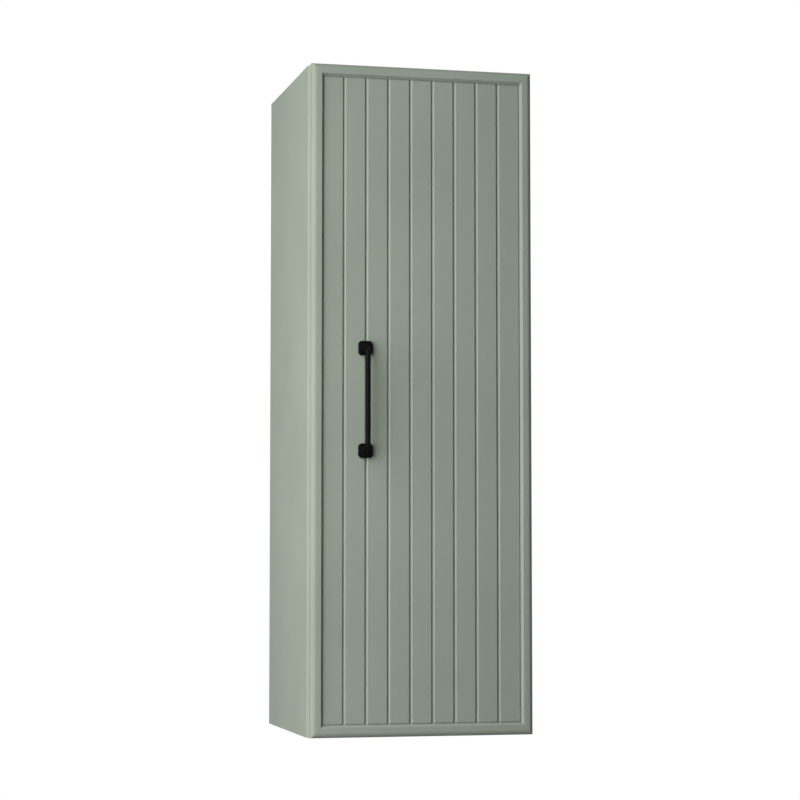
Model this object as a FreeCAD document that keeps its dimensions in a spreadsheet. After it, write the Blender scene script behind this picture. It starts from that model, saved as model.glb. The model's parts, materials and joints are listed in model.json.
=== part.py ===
import FreeCAD, Part
import math
import os

import Sketcher

# A wall-hung bathroom cabinet with one grooved door.
# +X is to the right of someone facing it, +Y goes to the wall and +Z goes up.
# The origin is on the wall, in the middle of the four holes that hold the wall plates.

V = FreeCAD.Vector
LEFT = V(-1, 0, 0)
RIGHT = V(1, 0, 0)
OUT = V(0, -1, 0)
BACK = V(0, 1, 0)
DOWN = V(0, 0, -1)
UP = V(0, 0, 1)
QUARTER_TURN = math.pi / 2
TOUCH = 1e-4

os.makedirs("parts", exist_ok=True)
doc = FreeCAD.newDocument("bathroom_cabinet")

# Driving dimensions in millimetres

DRIVING = {
    "width": 360,           # over both side panels
    "height": 1050,
    "depth": 350,           # from the wall to the front of the door
    "panel": 18,            # sides, top, bottom and shelves
    "side_round": 10,       # outer front edge of a side panel
    "mount_drop": 70,       # from the cabinet's top to the middle of the wall holes
    "fit_play": 0.05,       # between a pin or screw and its hole
    "hole_spare": 0.5,      # left at the end of a blind hole
    "head_wide": 1.8,       # a screw head's radius over the shank's
    "head_high": 0.7,       # its height over the shank's radius
    "back_thick": 6,
    "back_inset": 22,       # from the wall to the back panel
    "back_groove": 6,       # depth of the groove that holds it
    "back_play": 0.5,       # left at the groove's bottom
    "groove_play": 0.1,     # on each face of the back panel
    "shelf_setback": 20,    # from the carcass front to a shelf
    "shelf_play": 1.5,      # at a shelf's ends and back
    "shelf_round": 1.5,     # front edges of a shelf
    "shelf_pin": 2.5,       # radius
    "shelf_pin_out": 9,
    "shelf_pin_line": 35,   # from a shelf's front, or from the back panel
    "shelf_pin_in": 8,
    "pin_collar": 3.5,      # radius
    "collar_thick": 1.2,
    "cam_radius": 7.5,
    "cam_deep": 13,
    "cam_sunk": 0.2,
    "cam_slot_half": 4,
    "cam_slot_thin": 0.7,   # half the width of the cross slot
    "cam_slot_deep": 1.4,
    "cam_back": 2,          # from a cam's centre to the end of the bolt's room
    "cam_reach": 24,        # from a panel's end to a cam's centre
    "cam_line": 60,         # from the front or back edge to a corner bolt
    "bolt_thread": 2.5,     # radius in the side panel
    "bolt_deep": 11,
    "bolt_head": 3.3,       # radius
    "bolt_head_long": 4,
    "bolt_head_play": 0.3,
    "bolt_shank": 2,        # radius
    "bolt_neck": 3,         # radius
    "bolt_neck_long": 12,
    "dowel_radius": 4,
    "dowel_side": 12,       # depth of a dowel hole in the side
    "dowel_end": 19,        # depth of a dowel hole in a panel's end
    "dowel_line": 100,
    "door_thick": 18,
    "door_gap": 2.5,        # between the door and the carcass
    "side_reveal": 2,       # of the carcass at each side of the door
    "end_reveal": 0.5,      # at the door's top and bottom
    "door_round": 7.5,      # outer front edge of the door
    "door_back_round": 3,
    "frame_wide": 20,       # raised frame with its bevel
    "bevel": 4.3,           # depth and width of the bevel round the sunk panel
    "boards": 9,
    "vee_pitch": 35.5,
    "vee_shift": -1.6,      # of the row of grooves, to the side
    "vee_wide": 5.6,        # a groove is half as deep as it is wide
    "handle_groove": 2,     # which groove from the left carries the handle
    "handle_aside": 2,      # from that groove to the handle's middle
    "handle_up": 523,       # from the cabinet's bottom to the handle's middle
    "handle_span": 160,     # between the screws
    "handle_off": 22,       # from the sunk panel to the middle of the bar
    "handle_bend": 13,
    "bar_radius": 4,
    "rosette": 22.6,
    "rosette_corner": 5.5,
    "rosette_edge": 1.8,
    "rosette_thick": 5,
    "rosette_collar": 6,    # radius
    "collar_high": 4,
    "handle_screw": 2,      # radius
    "handle_screw_play": 0.25,
    "handle_thread": 10,    # depth of the screw hole in the bar
    "bumper_radius": 3.5,
    "bumper_high": 2.3,
    "bumper_in": 14,        # from the side plane to a bumper's centre
    "bumper_line": 60,      # from the cabinet's top or bottom
    "hinge_low": 110,       # from the cabinet's bottom to the lowest hinge
    "hinge_high": 940,
    "cup_radius": 17.5,
    "cup_deep": 11.8,
    "cup_edge": 3,          # board left between the cup and the door's edge
    "flange_thick": 1,
    "flange_set": 1,        # from the cup's wall to the flange's round edge
    "flange_half": 29,
    "ear_half": 7,
    "cup_screw": 1.7,       # radius
    "cup_screw_long": 11,
    "cup_screw_line": 22.5,
    "cup_screw_in": 9.5,    # from the cup's centre to its screws
    "slot_half": 4.9,       # half the width of the arm's slot in the cup
    "slot_start": 6.5,      # from the side plane
    "slot_deep": 10.8,
    "slot_wall": 1.5,
    "pivot_in": 9.8,        # from the side plane to the pivot
    "pivot_out": 10,        # from the carcass front to the pivot
    "pivot_pin": 1.5,       # radius
    "pivot_half": 9,        # half the length of the pin
    "eye_radius": 3,
    "neck_half": 4.5,
    "neck_low": 8,          # from the carcass front to the neck
    "neck_thick": 4.6,
    "knee_round": 4,
    "arm_half": 7,
    "arm_thick": 4.5,
    "arm_long": 62,
    "arm_start": 4,         # from the carcass front to the wide part of the arm
    "plate_thick": 2.5,
    "plate_line": 37,       # from the carcass front to the plate's screws
    "plate_wing": 24,
    "plate_wing_half": 8,
    "plate_screw_line": 16,
    "plate_screw": 2.5,     # radius
    "plate_screw_deep": 11, # in the side panel
    "plate_start": 8,       # from the carcass front
    "plate_long": 64,
    "arm_screw": 2,         # radius
    "arm_screw_near": 18,   # from the carcass front
    "arm_screw_far": 52,
    "catch_wide": 14,
    "catch_deep": 15,
    "catch_half": 20,
    "catch_set": 1,         # from the carcass front to the catch
    "catch_floor": 4,       # of the housing behind the magnet
    "magnet_set": 1,        # from the housing's front
    "magnet_wide": 6,
    "magnet_half": 12,
    "pole_thick": 1.5,
    "pole_half": 13,
    "pole_out": 1,          # of the carcass front
    "catch_screw": 1.5,     # radius
    "catch_screw_line": 16.5,
    "catch_screw_deep": 9,  # in the side panel
    "strike_thick": 1.2,
    "strike_wide": 12,
    "strike_half": 19,
    "strike_screw_line": 16,
    "strike_screw_long": 9,
    "hanger_wide": 18,
    "hanger_deep": 44,
    "hanger_low": 12,       # below the wall holes
    "hanger_gap": 2,        # under the top panel
    "hanger_set": 0.5,      # from the back panel
    "hanger_boss": 5,       # radius of a boss in the side panel
    "boss_low": 3,          # above the wall holes
    "boss_rise": 32,        # between the two bosses
    "boss_line": 24,        # from the back panel
    "hook_wide": 10,
    "hook_thick": 4,
    "hook_top": 46,         # above the wall holes
    "hook_tip": 2.6,
    "hook_drop": 16,
    "hook_play": 0.2,
    "hook_clear": 0.4,      # between the hook and the wall plate's lip
    "lip_play": 0.1,        # under the hook
    "hook_room": 11.5,      # from the hanger's front to the hook
    "hanger_screw": 3,      # radius
    "hanger_screw_low": 10, # the lower screw, above the wall holes
    "hanger_screw_long": 20,
    "cover_thick": 1.5,
    "cover_play": 0.2,      # under the top panel
    "cover_room": 5.5,      # between the hanger and the front of its cover
    "notch_wide": 28,       # of the back panel, at a hook
    "notch_high": 18,       # from the hook's top down to the notch's edge
    "wall_span": 270,       # between the two wall plates
    "wall_rise": 32,        # between the two holes of a plate
    "wall_hole": 3.25,      # radius
    "wall_plate_wide": 50,
    "wall_plate_low": 28,
    "wall_plate_bend": 26,
    "wall_plate_thick": 2,
    "lip_out": 8,           # from the wall to the front of the lip
}

sheet = doc.addObject("Spreadsheet::Sheet", "dims")
for row, (alias, size) in enumerate(DRIVING.items(), start=1):
    sheet.set(f"A{row}", alias)
    sheet.set(f"B{row}", str(size))
    sheet.setAlias(f"B{row}", alias)
doc.recompute()

# Places that many pieces share

HALF = "dims.width / 2"
INSIDE = "(dims.width / 2 - dims.panel)"
TOP = "dims.mount_drop"
BOTTOM = "(dims.mount_drop - dims.height)"
CEILING = "(dims.mount_drop - dims.panel)"
FLOOR = "(dims.mount_drop - dims.height + dims.panel)"
FRONT = "(dims.door_thick + dims.door_gap - dims.depth)"
DOOR_BACK = "(dims.door_thick - dims.depth)"
SUNK = "(dims.bevel - dims.depth)"
BACK_FACE = "(-dims.back_inset - dims.back_thick)"
HANDLE_Z = f"({BOTTOM} + dims.handle_up)"


def number(expression):
    """What an expression of the sheet's cells comes to."""
    return float(sheet.evalExpression(expression))


def from_side(inwards):
    """The x of a point that lies so far inwards from the right side plane."""
    return f"({HALF} - ({inwards}))"


def from_front(outwards):
    """The y of a point that lies so far in front of the carcass."""
    return f"({FRONT} - ({outwards}))"


# Solids whose sizes and places are expressions

def place(thing, spot):
    for axis, expression in zip("xyz", spot):
        thing.setExpression(f".Placement.Base.{axis}", expression)
    return thing


def block(name, low, high):
    """A box between its lowest and its highest corner."""
    thing = doc.addObject("Part::Box", name)
    for side, start, end in zip(("Length", "Width", "Height"), low, high):
        thing.setExpression(side, f"({end}) - ({start})")
    return place(thing, low)


def sided_block(hand, name, low, high):
    """A box on the right of the middle plane, or its mirror image on the left."""
    if hand == "left":
        low, high = (f"-({high[0]})", *low[1:]), (f"-({low[0]})", *high[1:])
    return block(name, low, high)


def rod(name, radius, length, start, towards):
    """A round bar from its start along one axis."""
    thing = doc.addObject("Part::Cylinder", name)
    thing.Placement = FreeCAD.Placement(V(), FreeCAD.Rotation(UP, towards))
    thing.setExpression("Radius", radius)
    thing.setExpression("Height", length)
    return place(thing, start)


def joined(name, things):
    """One solid from several that meet."""
    thing = doc.addObject("Part::MultiFuse", name)
    thing.Shapes = things
    return thing


def cut_away(name, base, tools):
    """A solid with the shapes of its tools taken out."""
    thing = doc.addObject("Part::Cut", name)
    thing.Base = base
    thing.Tool = tools[0] if len(tools) == 1 else joined(name + "_tools", tools)
    return thing


def gather(name, things):
    """Separate solids of one kind, kept together."""
    thing = doc.addObject("Part::Compound", name)
    thing.Links = things
    return thing


def screw(name, shank, length, seat, into):
    """A screw whose flat head sits on a face and whose shank runs into the work."""
    head = rod(name + "_head", f"{shank} * dims.head_wide", f"{shank} * dims.head_high", seat, into * -1)
    stem = rod(name + "_shank", shank, length, seat, into)
    return joined(name, [head, stem])


# Sketched bodies

def sketch_on(body, plane, level):
    """An empty sketch on one of the body's own origin planes, moved along the plane's normal."""
    sketch = body.newObject("Sketcher::SketchObject", body.Name + "_sketch")
    support = [feature for feature in body.Origin.OriginFeatures if feature.Role == plane]
    sketch.AttachmentSupport = (support[0], [""])
    sketch.MapMode = "FlatFace"
    sketch.setExpression(".AttachmentOffset.Base.z", level)
    return sketch


def hold(sketch, geometry, end, spot):
    """Hold a point of a sketch at a pair of expressions, measured from the sketch's origin."""
    for kind, expression in zip(("DistanceX", "DistanceY"), spot):
        held = sketch.addConstraint(
            Sketcher.Constraint(kind, -1, 1, geometry, end, number(expression)))
        sketch.setExpression(f"Constraints[{held}]", expression)


def hold_radius(sketch, curve, radius):
    """Hold the radius of a circle or arc at an expression."""
    held = sketch.addConstraint(Sketcher.Constraint("Radius", curve, number(radius)))
    sketch.setExpression(f"Constraints[{held}]", radius)


def flat_point(spot):
    return V(number(spot[0]), number(spot[1]), 0)


def outline(body, plane, level, corners):
    """A closed outline of straight sides through its corners."""
    sketch = sketch_on(body, plane, level)
    after = corners[1:] + corners[:1]
    for corner, following in zip(corners, after):
        sketch.addGeometry(Part.LineSegment(flat_point(corner), flat_point(following)), False)
    for side, corner in enumerate(corners):
        sketch.addConstraint(
            Sketcher.Constraint("Coincident", side, 2, (side + 1) % len(corners), 1))
        hold(sketch, side, 1, corner)
    return sketch


def rectangle(low, high):
    """The four corners of a rectangle."""
    return [low, (high[0], low[1]), high, (low[0], high[1])]


def pad(body, sketch, length):
    feature = body.newObject("PartDesign::Pad", body.Name + "_pad")
    feature.Profile = sketch
    feature.setExpression("Length", length)
    doc.recompute()
    return feature


def slab(name, plane, level, corners, length):
    """A new body: an outline on a plane, padded along the plane's normal."""
    body = doc.addObject("PartDesign::Body", name)
    return body, pad(body, outline(body, plane, level, corners), length)


def pocket(body, sketch, length, forwards=False, taper=0):
    """Cut a sketch's shape out of the body, and make sure that it took material away."""
    before = body.Shape.Volume
    feature = body.newObject("PartDesign::Pocket", body.Name + "_pocket")
    feature.Profile = sketch
    feature.Reversed = forwards
    feature.TaperAngle = taper
    feature.setExpression("Length", length)
    doc.recompute()
    if body.Shape.Volume > before - TOUCH:
        raise RuntimeError(body.Name + " has a pocket that cuts nothing")
    return feature


def lies_at(edge, where):
    """True if the whole edge lies at the given coordinates, such as {"x": 10}."""
    box = edge.BoundBox
    span = {"x": (box.XMin, box.XMax), "y": (box.YMin, box.YMax), "z": (box.ZMin, box.ZMax)}
    return all(abs(end - value) < TOUCH for axis, value in where.items() for end in span[axis])


def round_edges(body, base, radius, places):
    """Round each edge of a feature that lies at one of the places."""
    found = [f"Edge{number_of}" for number_of, edge in enumerate(base.Shape.Edges, start=1)
             if any(lies_at(edge, where) for where in places)]
    feature = body.newObject("PartDesign::Fillet", body.Name + "_round")
    feature.Base = (base, found)
    feature.setExpression("Radius", radius)
    doc.recompute()
    return feature


pieces = {}


def keep(node, thing):
    """Name a finished piece and put it on the list of what is written."""
    thing.Label = node
    pieces[node] = thing


# Lines along which the corner joints, shelves and hinges are set

CAM_LINES = [f"({FRONT} + dims.cam_line)", "(-dims.cam_line)"]
DOWEL_LINES = [f"({FRONT} + dims.dowel_line)", "(-dims.dowel_line)"]
PIN_LINES = [f"({FRONT} + dims.shelf_setback + dims.shelf_pin_line)",
             f"({BACK_FACE} - dims.shelf_pin_line)"]
BOARD_MIDDLES = {"top": f"({TOP} - dims.panel / 2)", "bottom": f"({BOTTOM} + dims.panel / 2)"}
ROOM = "((dims.height - 4 * dims.panel) / 3)"    # three rooms between four level boards
SHELF_LOWS = {"lower": f"({FLOOR} + {ROOM})", "upper": f"({FLOOR} + 2 * {ROOM} + dims.panel)"}
HINGE_MIDDLES = {
    "bottom": f"({BOTTOM} + dims.hinge_low)",
    "middle": f"({BOTTOM} + (dims.hinge_low + dims.hinge_high) / 2)",
    "top": f"({BOTTOM} + dims.hinge_high)",
}
PIN_DROP = "(dims.shelf_pin + dims.fit_play)"
HANDS = {"left": (-1, LEFT), "right": (1, RIGHT)}
CATCH_SCREWS = [f"({HANDLE_Z} - dims.catch_screw_line)", f"({HANDLE_Z} + dims.catch_screw_line)"]
CUP_SCREW_ENDS = ["- dims.cup_screw_line", "+ dims.cup_screw_line"]
ARM_SCREW_LINES = [f"({FRONT} + dims.arm_screw_near)", f"({FRONT} + dims.arm_screw_far)"]
PLATE_SCREW_ENDS = ["- dims.plate_screw_line", "+ dims.plate_screw_line"]
BOSS_HEIGHTS = ["dims.boss_low", "(dims.boss_low + dims.boss_rise)"]
BOSS_LINE = f"({BACK_FACE} - dims.boss_line)"


# Side panels

def side_holes(hand):
    """Radius, depth, y and z of each hole in a side panel's inner face."""
    holes = []
    for middle in BOARD_MIDDLES.values():
        for line in CAM_LINES:
            holes.append(("dims.bolt_thread + dims.fit_play", "dims.bolt_deep + dims.hole_spare",
                          line, middle))
        for line in DOWEL_LINES:
            holes.append(("dims.dowel_radius + dims.fit_play", "dims.dowel_side", line, middle))
    for low in SHELF_LOWS.values():
        for line in PIN_LINES:
            holes.append(("dims.shelf_pin", "dims.shelf_pin_in + dims.hole_spare",
                          line, f"({low} - {PIN_DROP})"))
    for height in BOSS_HEIGHTS:
        holes.append(("dims.hanger_boss + dims.fit_play", "dims.dowel_side", BOSS_LINE, height))
    if hand == "right":
        for middle in HINGE_MIDDLES.values():
            for end in PLATE_SCREW_ENDS:
                holes.append(("dims.plate_screw + dims.fit_play", "dims.plate_screw_deep + dims.hole_spare",
                              f"({FRONT} + dims.plate_line)", f"({middle} {end})"))
    else:
        for height in CATCH_SCREWS:
            holes.append(("dims.catch_screw + dims.fit_play", "dims.catch_screw_deep + dims.hole_spare",
                          f"({FRONT} + dims.catch_set + dims.catch_deep / 2)", height))
    return holes


def side_panel(hand):
    """A board with one rounded edge, a groove for the back panel and its bored holes."""
    sign, outwards = HANDS[hand]
    low = f"-{HALF}" if hand == "left" else INSIDE
    body, board = slab("side_board_" + hand, "YZ_Plane", low,
                       rectangle((FRONT, BOTTOM), ("0", TOP)), "dims.panel")
    outer_edge = {"x": sign * number(HALF), "y": number(FRONT)}
    round_edges(body, board, "dims.side_round", [outer_edge])
    groove = sided_block(hand, "side_groove_" + hand,
                         (INSIDE, f"{BACK_FACE} - dims.groove_play", f"{FLOOR} - dims.back_groove"),
                         (f"{INSIDE} + dims.back_groove", "-dims.back_inset + dims.groove_play",
                          f"{CEILING} + dims.back_groove"))
    holes = [rod("side_hole_" + hand, radius, deep, (f"({sign} * {INSIDE})", line, height), outwards)
             for radius, deep, line, height in side_holes(hand)]
    keep("side_panel_" + hand, cut_away("side_" + hand, body, [groove] + holes))


for hand in HANDS:
    side_panel(hand)


# Top and bottom panels with their cam locks, bolts and dowels

cams = []
bolts = []
dowels = []


def corner_bolt(line, middle, hand, outer_face, outwards):
    """One cam lock and its bolt, with the bores that they need in the panel."""
    sign, towards_side = HANDS[hand]
    centre = f"({sign} * ({INSIDE} - dims.cam_reach))"
    end = f"({sign} * {INSIDE})"
    cam_bore = rod("cam_bore", "dims.cam_radius", "dims.cam_deep", (centre, line, outer_face), outwards * -1)
    end_bore = rod("bolt_bore", "dims.dowel_radius", "dims.cam_reach", (centre, line, middle), towards_side)
    drum = rod("cam_drum", "dims.cam_radius - 2 * dims.fit_play", "dims.cam_deep - 2 * dims.cam_sunk",
               (centre, line, f"({outer_face} - {int(outwards.z)} * dims.cam_sunk)"), outwards * -1)
    bolt_room = rod("cam_bolt_room", "dims.bolt_head + dims.bolt_head_play",
                    "dims.cam_radius + dims.cam_back",
                    (f"({centre} - {sign} * dims.cam_back)", line, middle), towards_side)
    arms = ("dims.cam_slot_half", "dims.cam_slot_thin")
    slots = [block("cam_slot",
                   (f"{centre} - {across}", f"{line} - {along}", f"{outer_face} - dims.cam_slot_deep"),
                   (f"{centre} + {across}", f"{line} + {along}", f"{outer_face} + dims.cam_slot_deep"))
             for across, along in (arms, arms[::-1])]
    cams.append(cut_away("cam", drum, [bolt_room] + slots))
    head = rod("bolt_head", "dims.bolt_head", "dims.bolt_head_long", (centre, line, middle), towards_side)
    shank = rod("bolt_shank", "dims.bolt_shank", "dims.cam_reach", (centre, line, middle), towards_side)
    neck = rod("bolt_neck", "dims.bolt_neck", "dims.bolt_neck_long", (end, line, middle), towards_side * -1)
    thread = rod("bolt_thread", "dims.bolt_thread", "dims.bolt_deep", (end, line, middle), towards_side)
    bolts.append(joined("bolt", [head, shank, neck, thread]))
    return [cam_bore, end_bore]


def corner_dowel(line, middle, hand):
    """One dowel, with the bore that it needs in the panel's end."""
    sign, towards_side = HANDS[hand]
    end = f"({sign} * {INSIDE})"
    bore = rod("dowel_bore", "dims.dowel_radius + dims.fit_play", "dims.dowel_end",
               (end, line, middle), towards_side * -1)
    start = f"({sign} * ({INSIDE} - dims.dowel_end + dims.hole_spare))"
    dowels.append(rod("dowel", "dims.dowel_radius", "dims.dowel_end + dims.dowel_side - 2 * dims.hole_spare",
                      (start, line, middle), towards_side))
    return bore


def level_panel(where, low, high, groove_low, groove_high, outer_face, outwards):
    """A board between the sides, grooved for the back panel and bored for its joints."""
    board = block(where + "_board", (f"-{INSIDE}", FRONT, low), (INSIDE, "0", high))
    tools = [block(where + "_groove",
                   (f"-{INSIDE}", f"{BACK_FACE} - dims.groove_play", groove_low),
                   (INSIDE, "-dims.back_inset + dims.groove_play", groove_high))]
    for hand in HANDS:
        for line in CAM_LINES:
            tools += corner_bolt(line, BOARD_MIDDLES[where], hand, outer_face, outwards)
        for line in DOWEL_LINES:
            tools.append(corner_dowel(line, BOARD_MIDDLES[where], hand))
    keep(where + "_panel", cut_away(where, board, tools))


level_panel("top", CEILING, TOP, CEILING, f"{CEILING} + dims.back_groove", TOP, UP)
level_panel("bottom", BOTTOM, FLOOR, f"{FLOOR} - dims.back_groove", FLOOR, BOTTOM, DOWN)
keep("cam_locks", gather("cams", cams))
keep("cam_bolts", gather("bolts", bolts))
keep("dowels", gather("dowels_all", dowels))


# Back panel

def back_panel():
    """A thin board in the grooves, with its top corners cut out for the hooks."""
    reach = f"({INSIDE} + dims.back_groove - dims.back_play)"
    low = f"({FLOOR} - dims.back_groove + dims.back_play)"
    high = f"({CEILING} + dims.back_groove - dims.back_play)"
    board = block("back_board", (f"-{reach}", BACK_FACE, low), (reach, "-dims.back_inset", high))
    notches = [sided_block(hand, "back_notch",
                           (f"{reach} - dims.notch_wide", BACK_FACE, "dims.hook_top - dims.notch_high"),
                           (reach, "-dims.back_inset", high)) for hand in HANDS]
    keep("back_panel", cut_away("back", board, notches))


back_panel()


# Shelves and the pins under them

def shelf(which, low):
    """A loose board with its two front edges eased."""
    reach = f"({INSIDE} - dims.shelf_play)"
    lip = f"({FRONT} + dims.shelf_setback)"
    body, board = slab("shelf_board_" + which, "XY_Plane", low,
                       rectangle((f"-{reach}", lip), (reach, f"{BACK_FACE} - dims.shelf_play")),
                       "dims.panel")
    bottom = number(low)
    fronts = [{"y": number(lip), "z": bottom}, {"y": number(lip), "z": bottom + number("dims.panel")}]
    round_edges(body, board, "dims.shelf_round", fronts)
    keep("shelf_" + which, body)


def shelf_pin(low, line, hand):
    """A pin with a collar that rests against the side panel."""
    sign, outwards = HANDS[hand]
    spot = (f"({sign} * {INSIDE})", line, f"({low} - {PIN_DROP})")
    stem = rod("pin_stem", "dims.shelf_pin - dims.fit_play", "dims.shelf_pin_in", spot, outwards)
    collar = rod("pin_collar", "dims.pin_collar", "dims.collar_thick", spot, outwards * -1)
    rest = rod("pin_rest", "dims.shelf_pin", "dims.shelf_pin_out", spot, outwards * -1)
    return joined("pin", [stem, collar, rest])


pins = []
for which, low in SHELF_LOWS.items():
    shelf(which, low)
    pins += [shelf_pin(low, line, hand) for line in PIN_LINES for hand in HANDS]
keep("shelf_pins", gather("pins", pins))


# Door: a routed board with a raised frame, a sunk panel and V-grooves

DOOR_REACH = f"({HALF} - dims.side_reveal)"
DOOR_LOW = f"({BOTTOM} + dims.end_reveal)"
DOOR_HIGH = f"({TOP} - dims.end_reveal)"
FIRST_VEE = "(dims.vee_shift - dims.vee_pitch * (dims.boards - 2) / 2)"
HANDLE_X = f"({FIRST_VEE} + dims.vee_pitch * (dims.handle_groove - 1) - dims.handle_aside)"
HANDLE_ENDS = {
    "upper": f"({HANDLE_Z} + dims.handle_span / 2)",
    "lower": f"({HANDLE_Z} - dims.handle_span / 2)",
}
CUP_X = from_side("dims.side_reveal + dims.cup_edge + dims.cup_radius")
CUP_SCREW_X = f"({CUP_X} - dims.cup_screw_in)"
STRIKE_X = f"(dims.catch_wide / 2 - {INSIDE})"
STRIKE_SCREWS = [f"({HANDLE_Z} - dims.strike_screw_line)", f"({HANDLE_Z} + dims.strike_screw_line)"]


def door_board():
    """The board with its rounded edges and sunk panel."""
    body, board = slab("door_board", "XZ_Plane", f"-{DOOR_BACK}",
                       rectangle((f"-{DOOR_REACH}", DOOR_LOW), (DOOR_REACH, DOOR_HIGH)), "dims.door_thick")
    front = round_edges(body, board, "dims.door_round", [{"y": -number("dims.depth")}])
    round_edges(body, front, "dims.door_back_round", [{"y": number(DOOR_BACK)}])
    rim = "(dims.frame_wide - dims.bevel)"
    sunk = outline(body, "XZ_Plane", "dims.depth",
                   rectangle((f"{rim} - {DOOR_REACH}", f"{DOOR_LOW} + {rim}"),
                             (f"{DOOR_REACH} - {rim}", f"{DOOR_HIGH} - {rim}")))
    pocket(body, sunk, "dims.bevel", taper=-45)
    return body


def door_grooves(body):
    """One V-groove along the sunk panel, repeated between the boards."""
    vee = [(f"{FIRST_VEE} - dims.vee_wide / 2", SUNK), (f"{FIRST_VEE} + dims.vee_wide / 2", SUNK),
           (FIRST_VEE, f"{SUNK} + dims.vee_wide / 2")]
    profile = outline(body, "XY_Plane", f"{DOOR_LOW} + dims.frame_wide", vee)
    first = pocket(body, profile, f"{DOOR_HIGH} - {DOOR_LOW} - 2 * dims.frame_wide", forwards=True)
    taken = number("dims.vee_wide") ** 2 / 4 * number(f"{DOOR_HIGH} - {DOOR_LOW} - 2 * dims.frame_wide")
    before = body.Shape.Volume + taken
    row = body.newObject("PartDesign::LinearPattern", "groove_row")
    row.Originals = [first]
    across = [feature for feature in body.Origin.OriginFeatures if feature.Role == "X_Axis"]
    row.Direction = (across[0], [""])
    row.setExpression("Occurrences", "dims.boards - 1")
    row.setExpression("Length", "dims.vee_pitch * (dims.boards - 2)")
    body.Tip = row
    doc.recompute()
    grooves = (before - body.Shape.Volume) / taken
    print(f"the door has {grooves:.2f} grooves")


def door():
    """The routed board with its bores for the cups, the handle, the strike and their screws."""
    body = door_board()
    door_grooves(body)
    bores = []
    for middle in HINGE_MIDDLES.values():
        bores.append(rod("cup_bore", "dims.cup_radius + dims.fit_play", "dims.cup_deep + dims.fit_play",
                         (CUP_X, DOOR_BACK, middle), OUT))
        for end in CUP_SCREW_ENDS:
            bores.append(rod("cup_pilot", "dims.cup_screw + dims.fit_play", "dims.cup_screw_long",
                             (CUP_SCREW_X, DOOR_BACK, f"({middle} {end})"), OUT))
    for height in HANDLE_ENDS.values():
        bores.append(rod("handle_bore", "dims.handle_screw + dims.handle_screw_play", "dims.door_thick",
                         (HANDLE_X, DOOR_BACK, height), OUT))
    for height in STRIKE_SCREWS:
        bores.append(rod("strike_pilot", "dims.catch_screw + dims.fit_play", "dims.strike_screw_long",
                         (STRIKE_X, DOOR_BACK, height), OUT))
    keep("door", cut_away("door_bored", body, bores))


door()


# Door bumpers

bumpers = [rod("bumper", "dims.bumper_radius", "dims.bumper_high",
               (f"(dims.bumper_in - {HALF})", DOOR_BACK, height), BACK)
           for height in (f"({TOP} - dims.bumper_line)", f"({BOTTOM} + dims.bumper_line)")]
keep("door_bumpers", gather("bumpers", bumpers))


# Handle: a round bar bent at both ends, two rosettes and two screws

BAR_Y = f"({SUNK} - dims.handle_off)"


def handle_route(body):
    """The line that the bar follows: out of the door, along it and back in, with two bends."""
    sketch = sketch_on(body, "YZ_Plane", HANDLE_X)
    out_of_bend = f"({BAR_Y} + dims.handle_bend)"
    upper, lower = HANDLE_ENDS["upper"], HANDLE_ENDS["lower"]
    runs = [((SUNK, upper), (out_of_bend, upper)),
            ((BAR_Y, f"({upper} - dims.handle_bend)"), (BAR_Y, f"({lower} + dims.handle_bend)")),
            ((out_of_bend, lower), (SUNK, lower))]
    for side, (start, end) in enumerate(runs):
        sketch.addGeometry(Part.LineSegment(flat_point(start), flat_point(end)), False)
        hold(sketch, side, 1, start)
        hold(sketch, side, 2, end)
    centres = [f"{upper} - dims.handle_bend", f"{lower} + dims.handle_bend"]
    for bend, height in enumerate(centres):
        circle = Part.Circle(flat_point((out_of_bend, height)), UP, number("dims.handle_bend"))
        arc = Part.ArcOfCircle(circle, (bend + 1) * QUARTER_TURN, (bend + 2) * QUARTER_TURN)
        curve = sketch.addGeometry(arc, False)
        sketch.addConstraint(Sketcher.Constraint("Coincident", bend, 2, curve, 1))
        sketch.addConstraint(Sketcher.Constraint("Coincident", curve, 2, bend + 1, 1))
        hold_radius(sketch, curve, "dims.handle_bend")
    return sketch


def handle_bar():
    """A round section carried along the route, with a screw hole in each end."""
    body = doc.addObject("PartDesign::Body", "bar_body")
    route = handle_route(body)
    section = sketch_on(body, "XZ_Plane", f"-{SUNK}")
    centre = (HANDLE_X, HANDLE_ENDS["upper"])
    circle = section.addGeometry(Part.Circle(flat_point(centre), UP, number("dims.bar_radius")), False)
    hold(section, circle, 3, centre)
    hold_radius(section, circle, "dims.bar_radius")
    doc.recompute()
    pipe = body.newObject("PartDesign::AdditivePipe", "bar_pipe")
    pipe.Profile = section
    pipe.Spine = route
    doc.recompute()
    threads = [rod("bar_thread", "dims.handle_screw + dims.fit_play", "dims.handle_thread",
                   (HANDLE_X, SUNK, height), OUT) for height in HANDLE_ENDS.values()]
    keep("handle_bar", cut_away("bar", body, threads))


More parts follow.
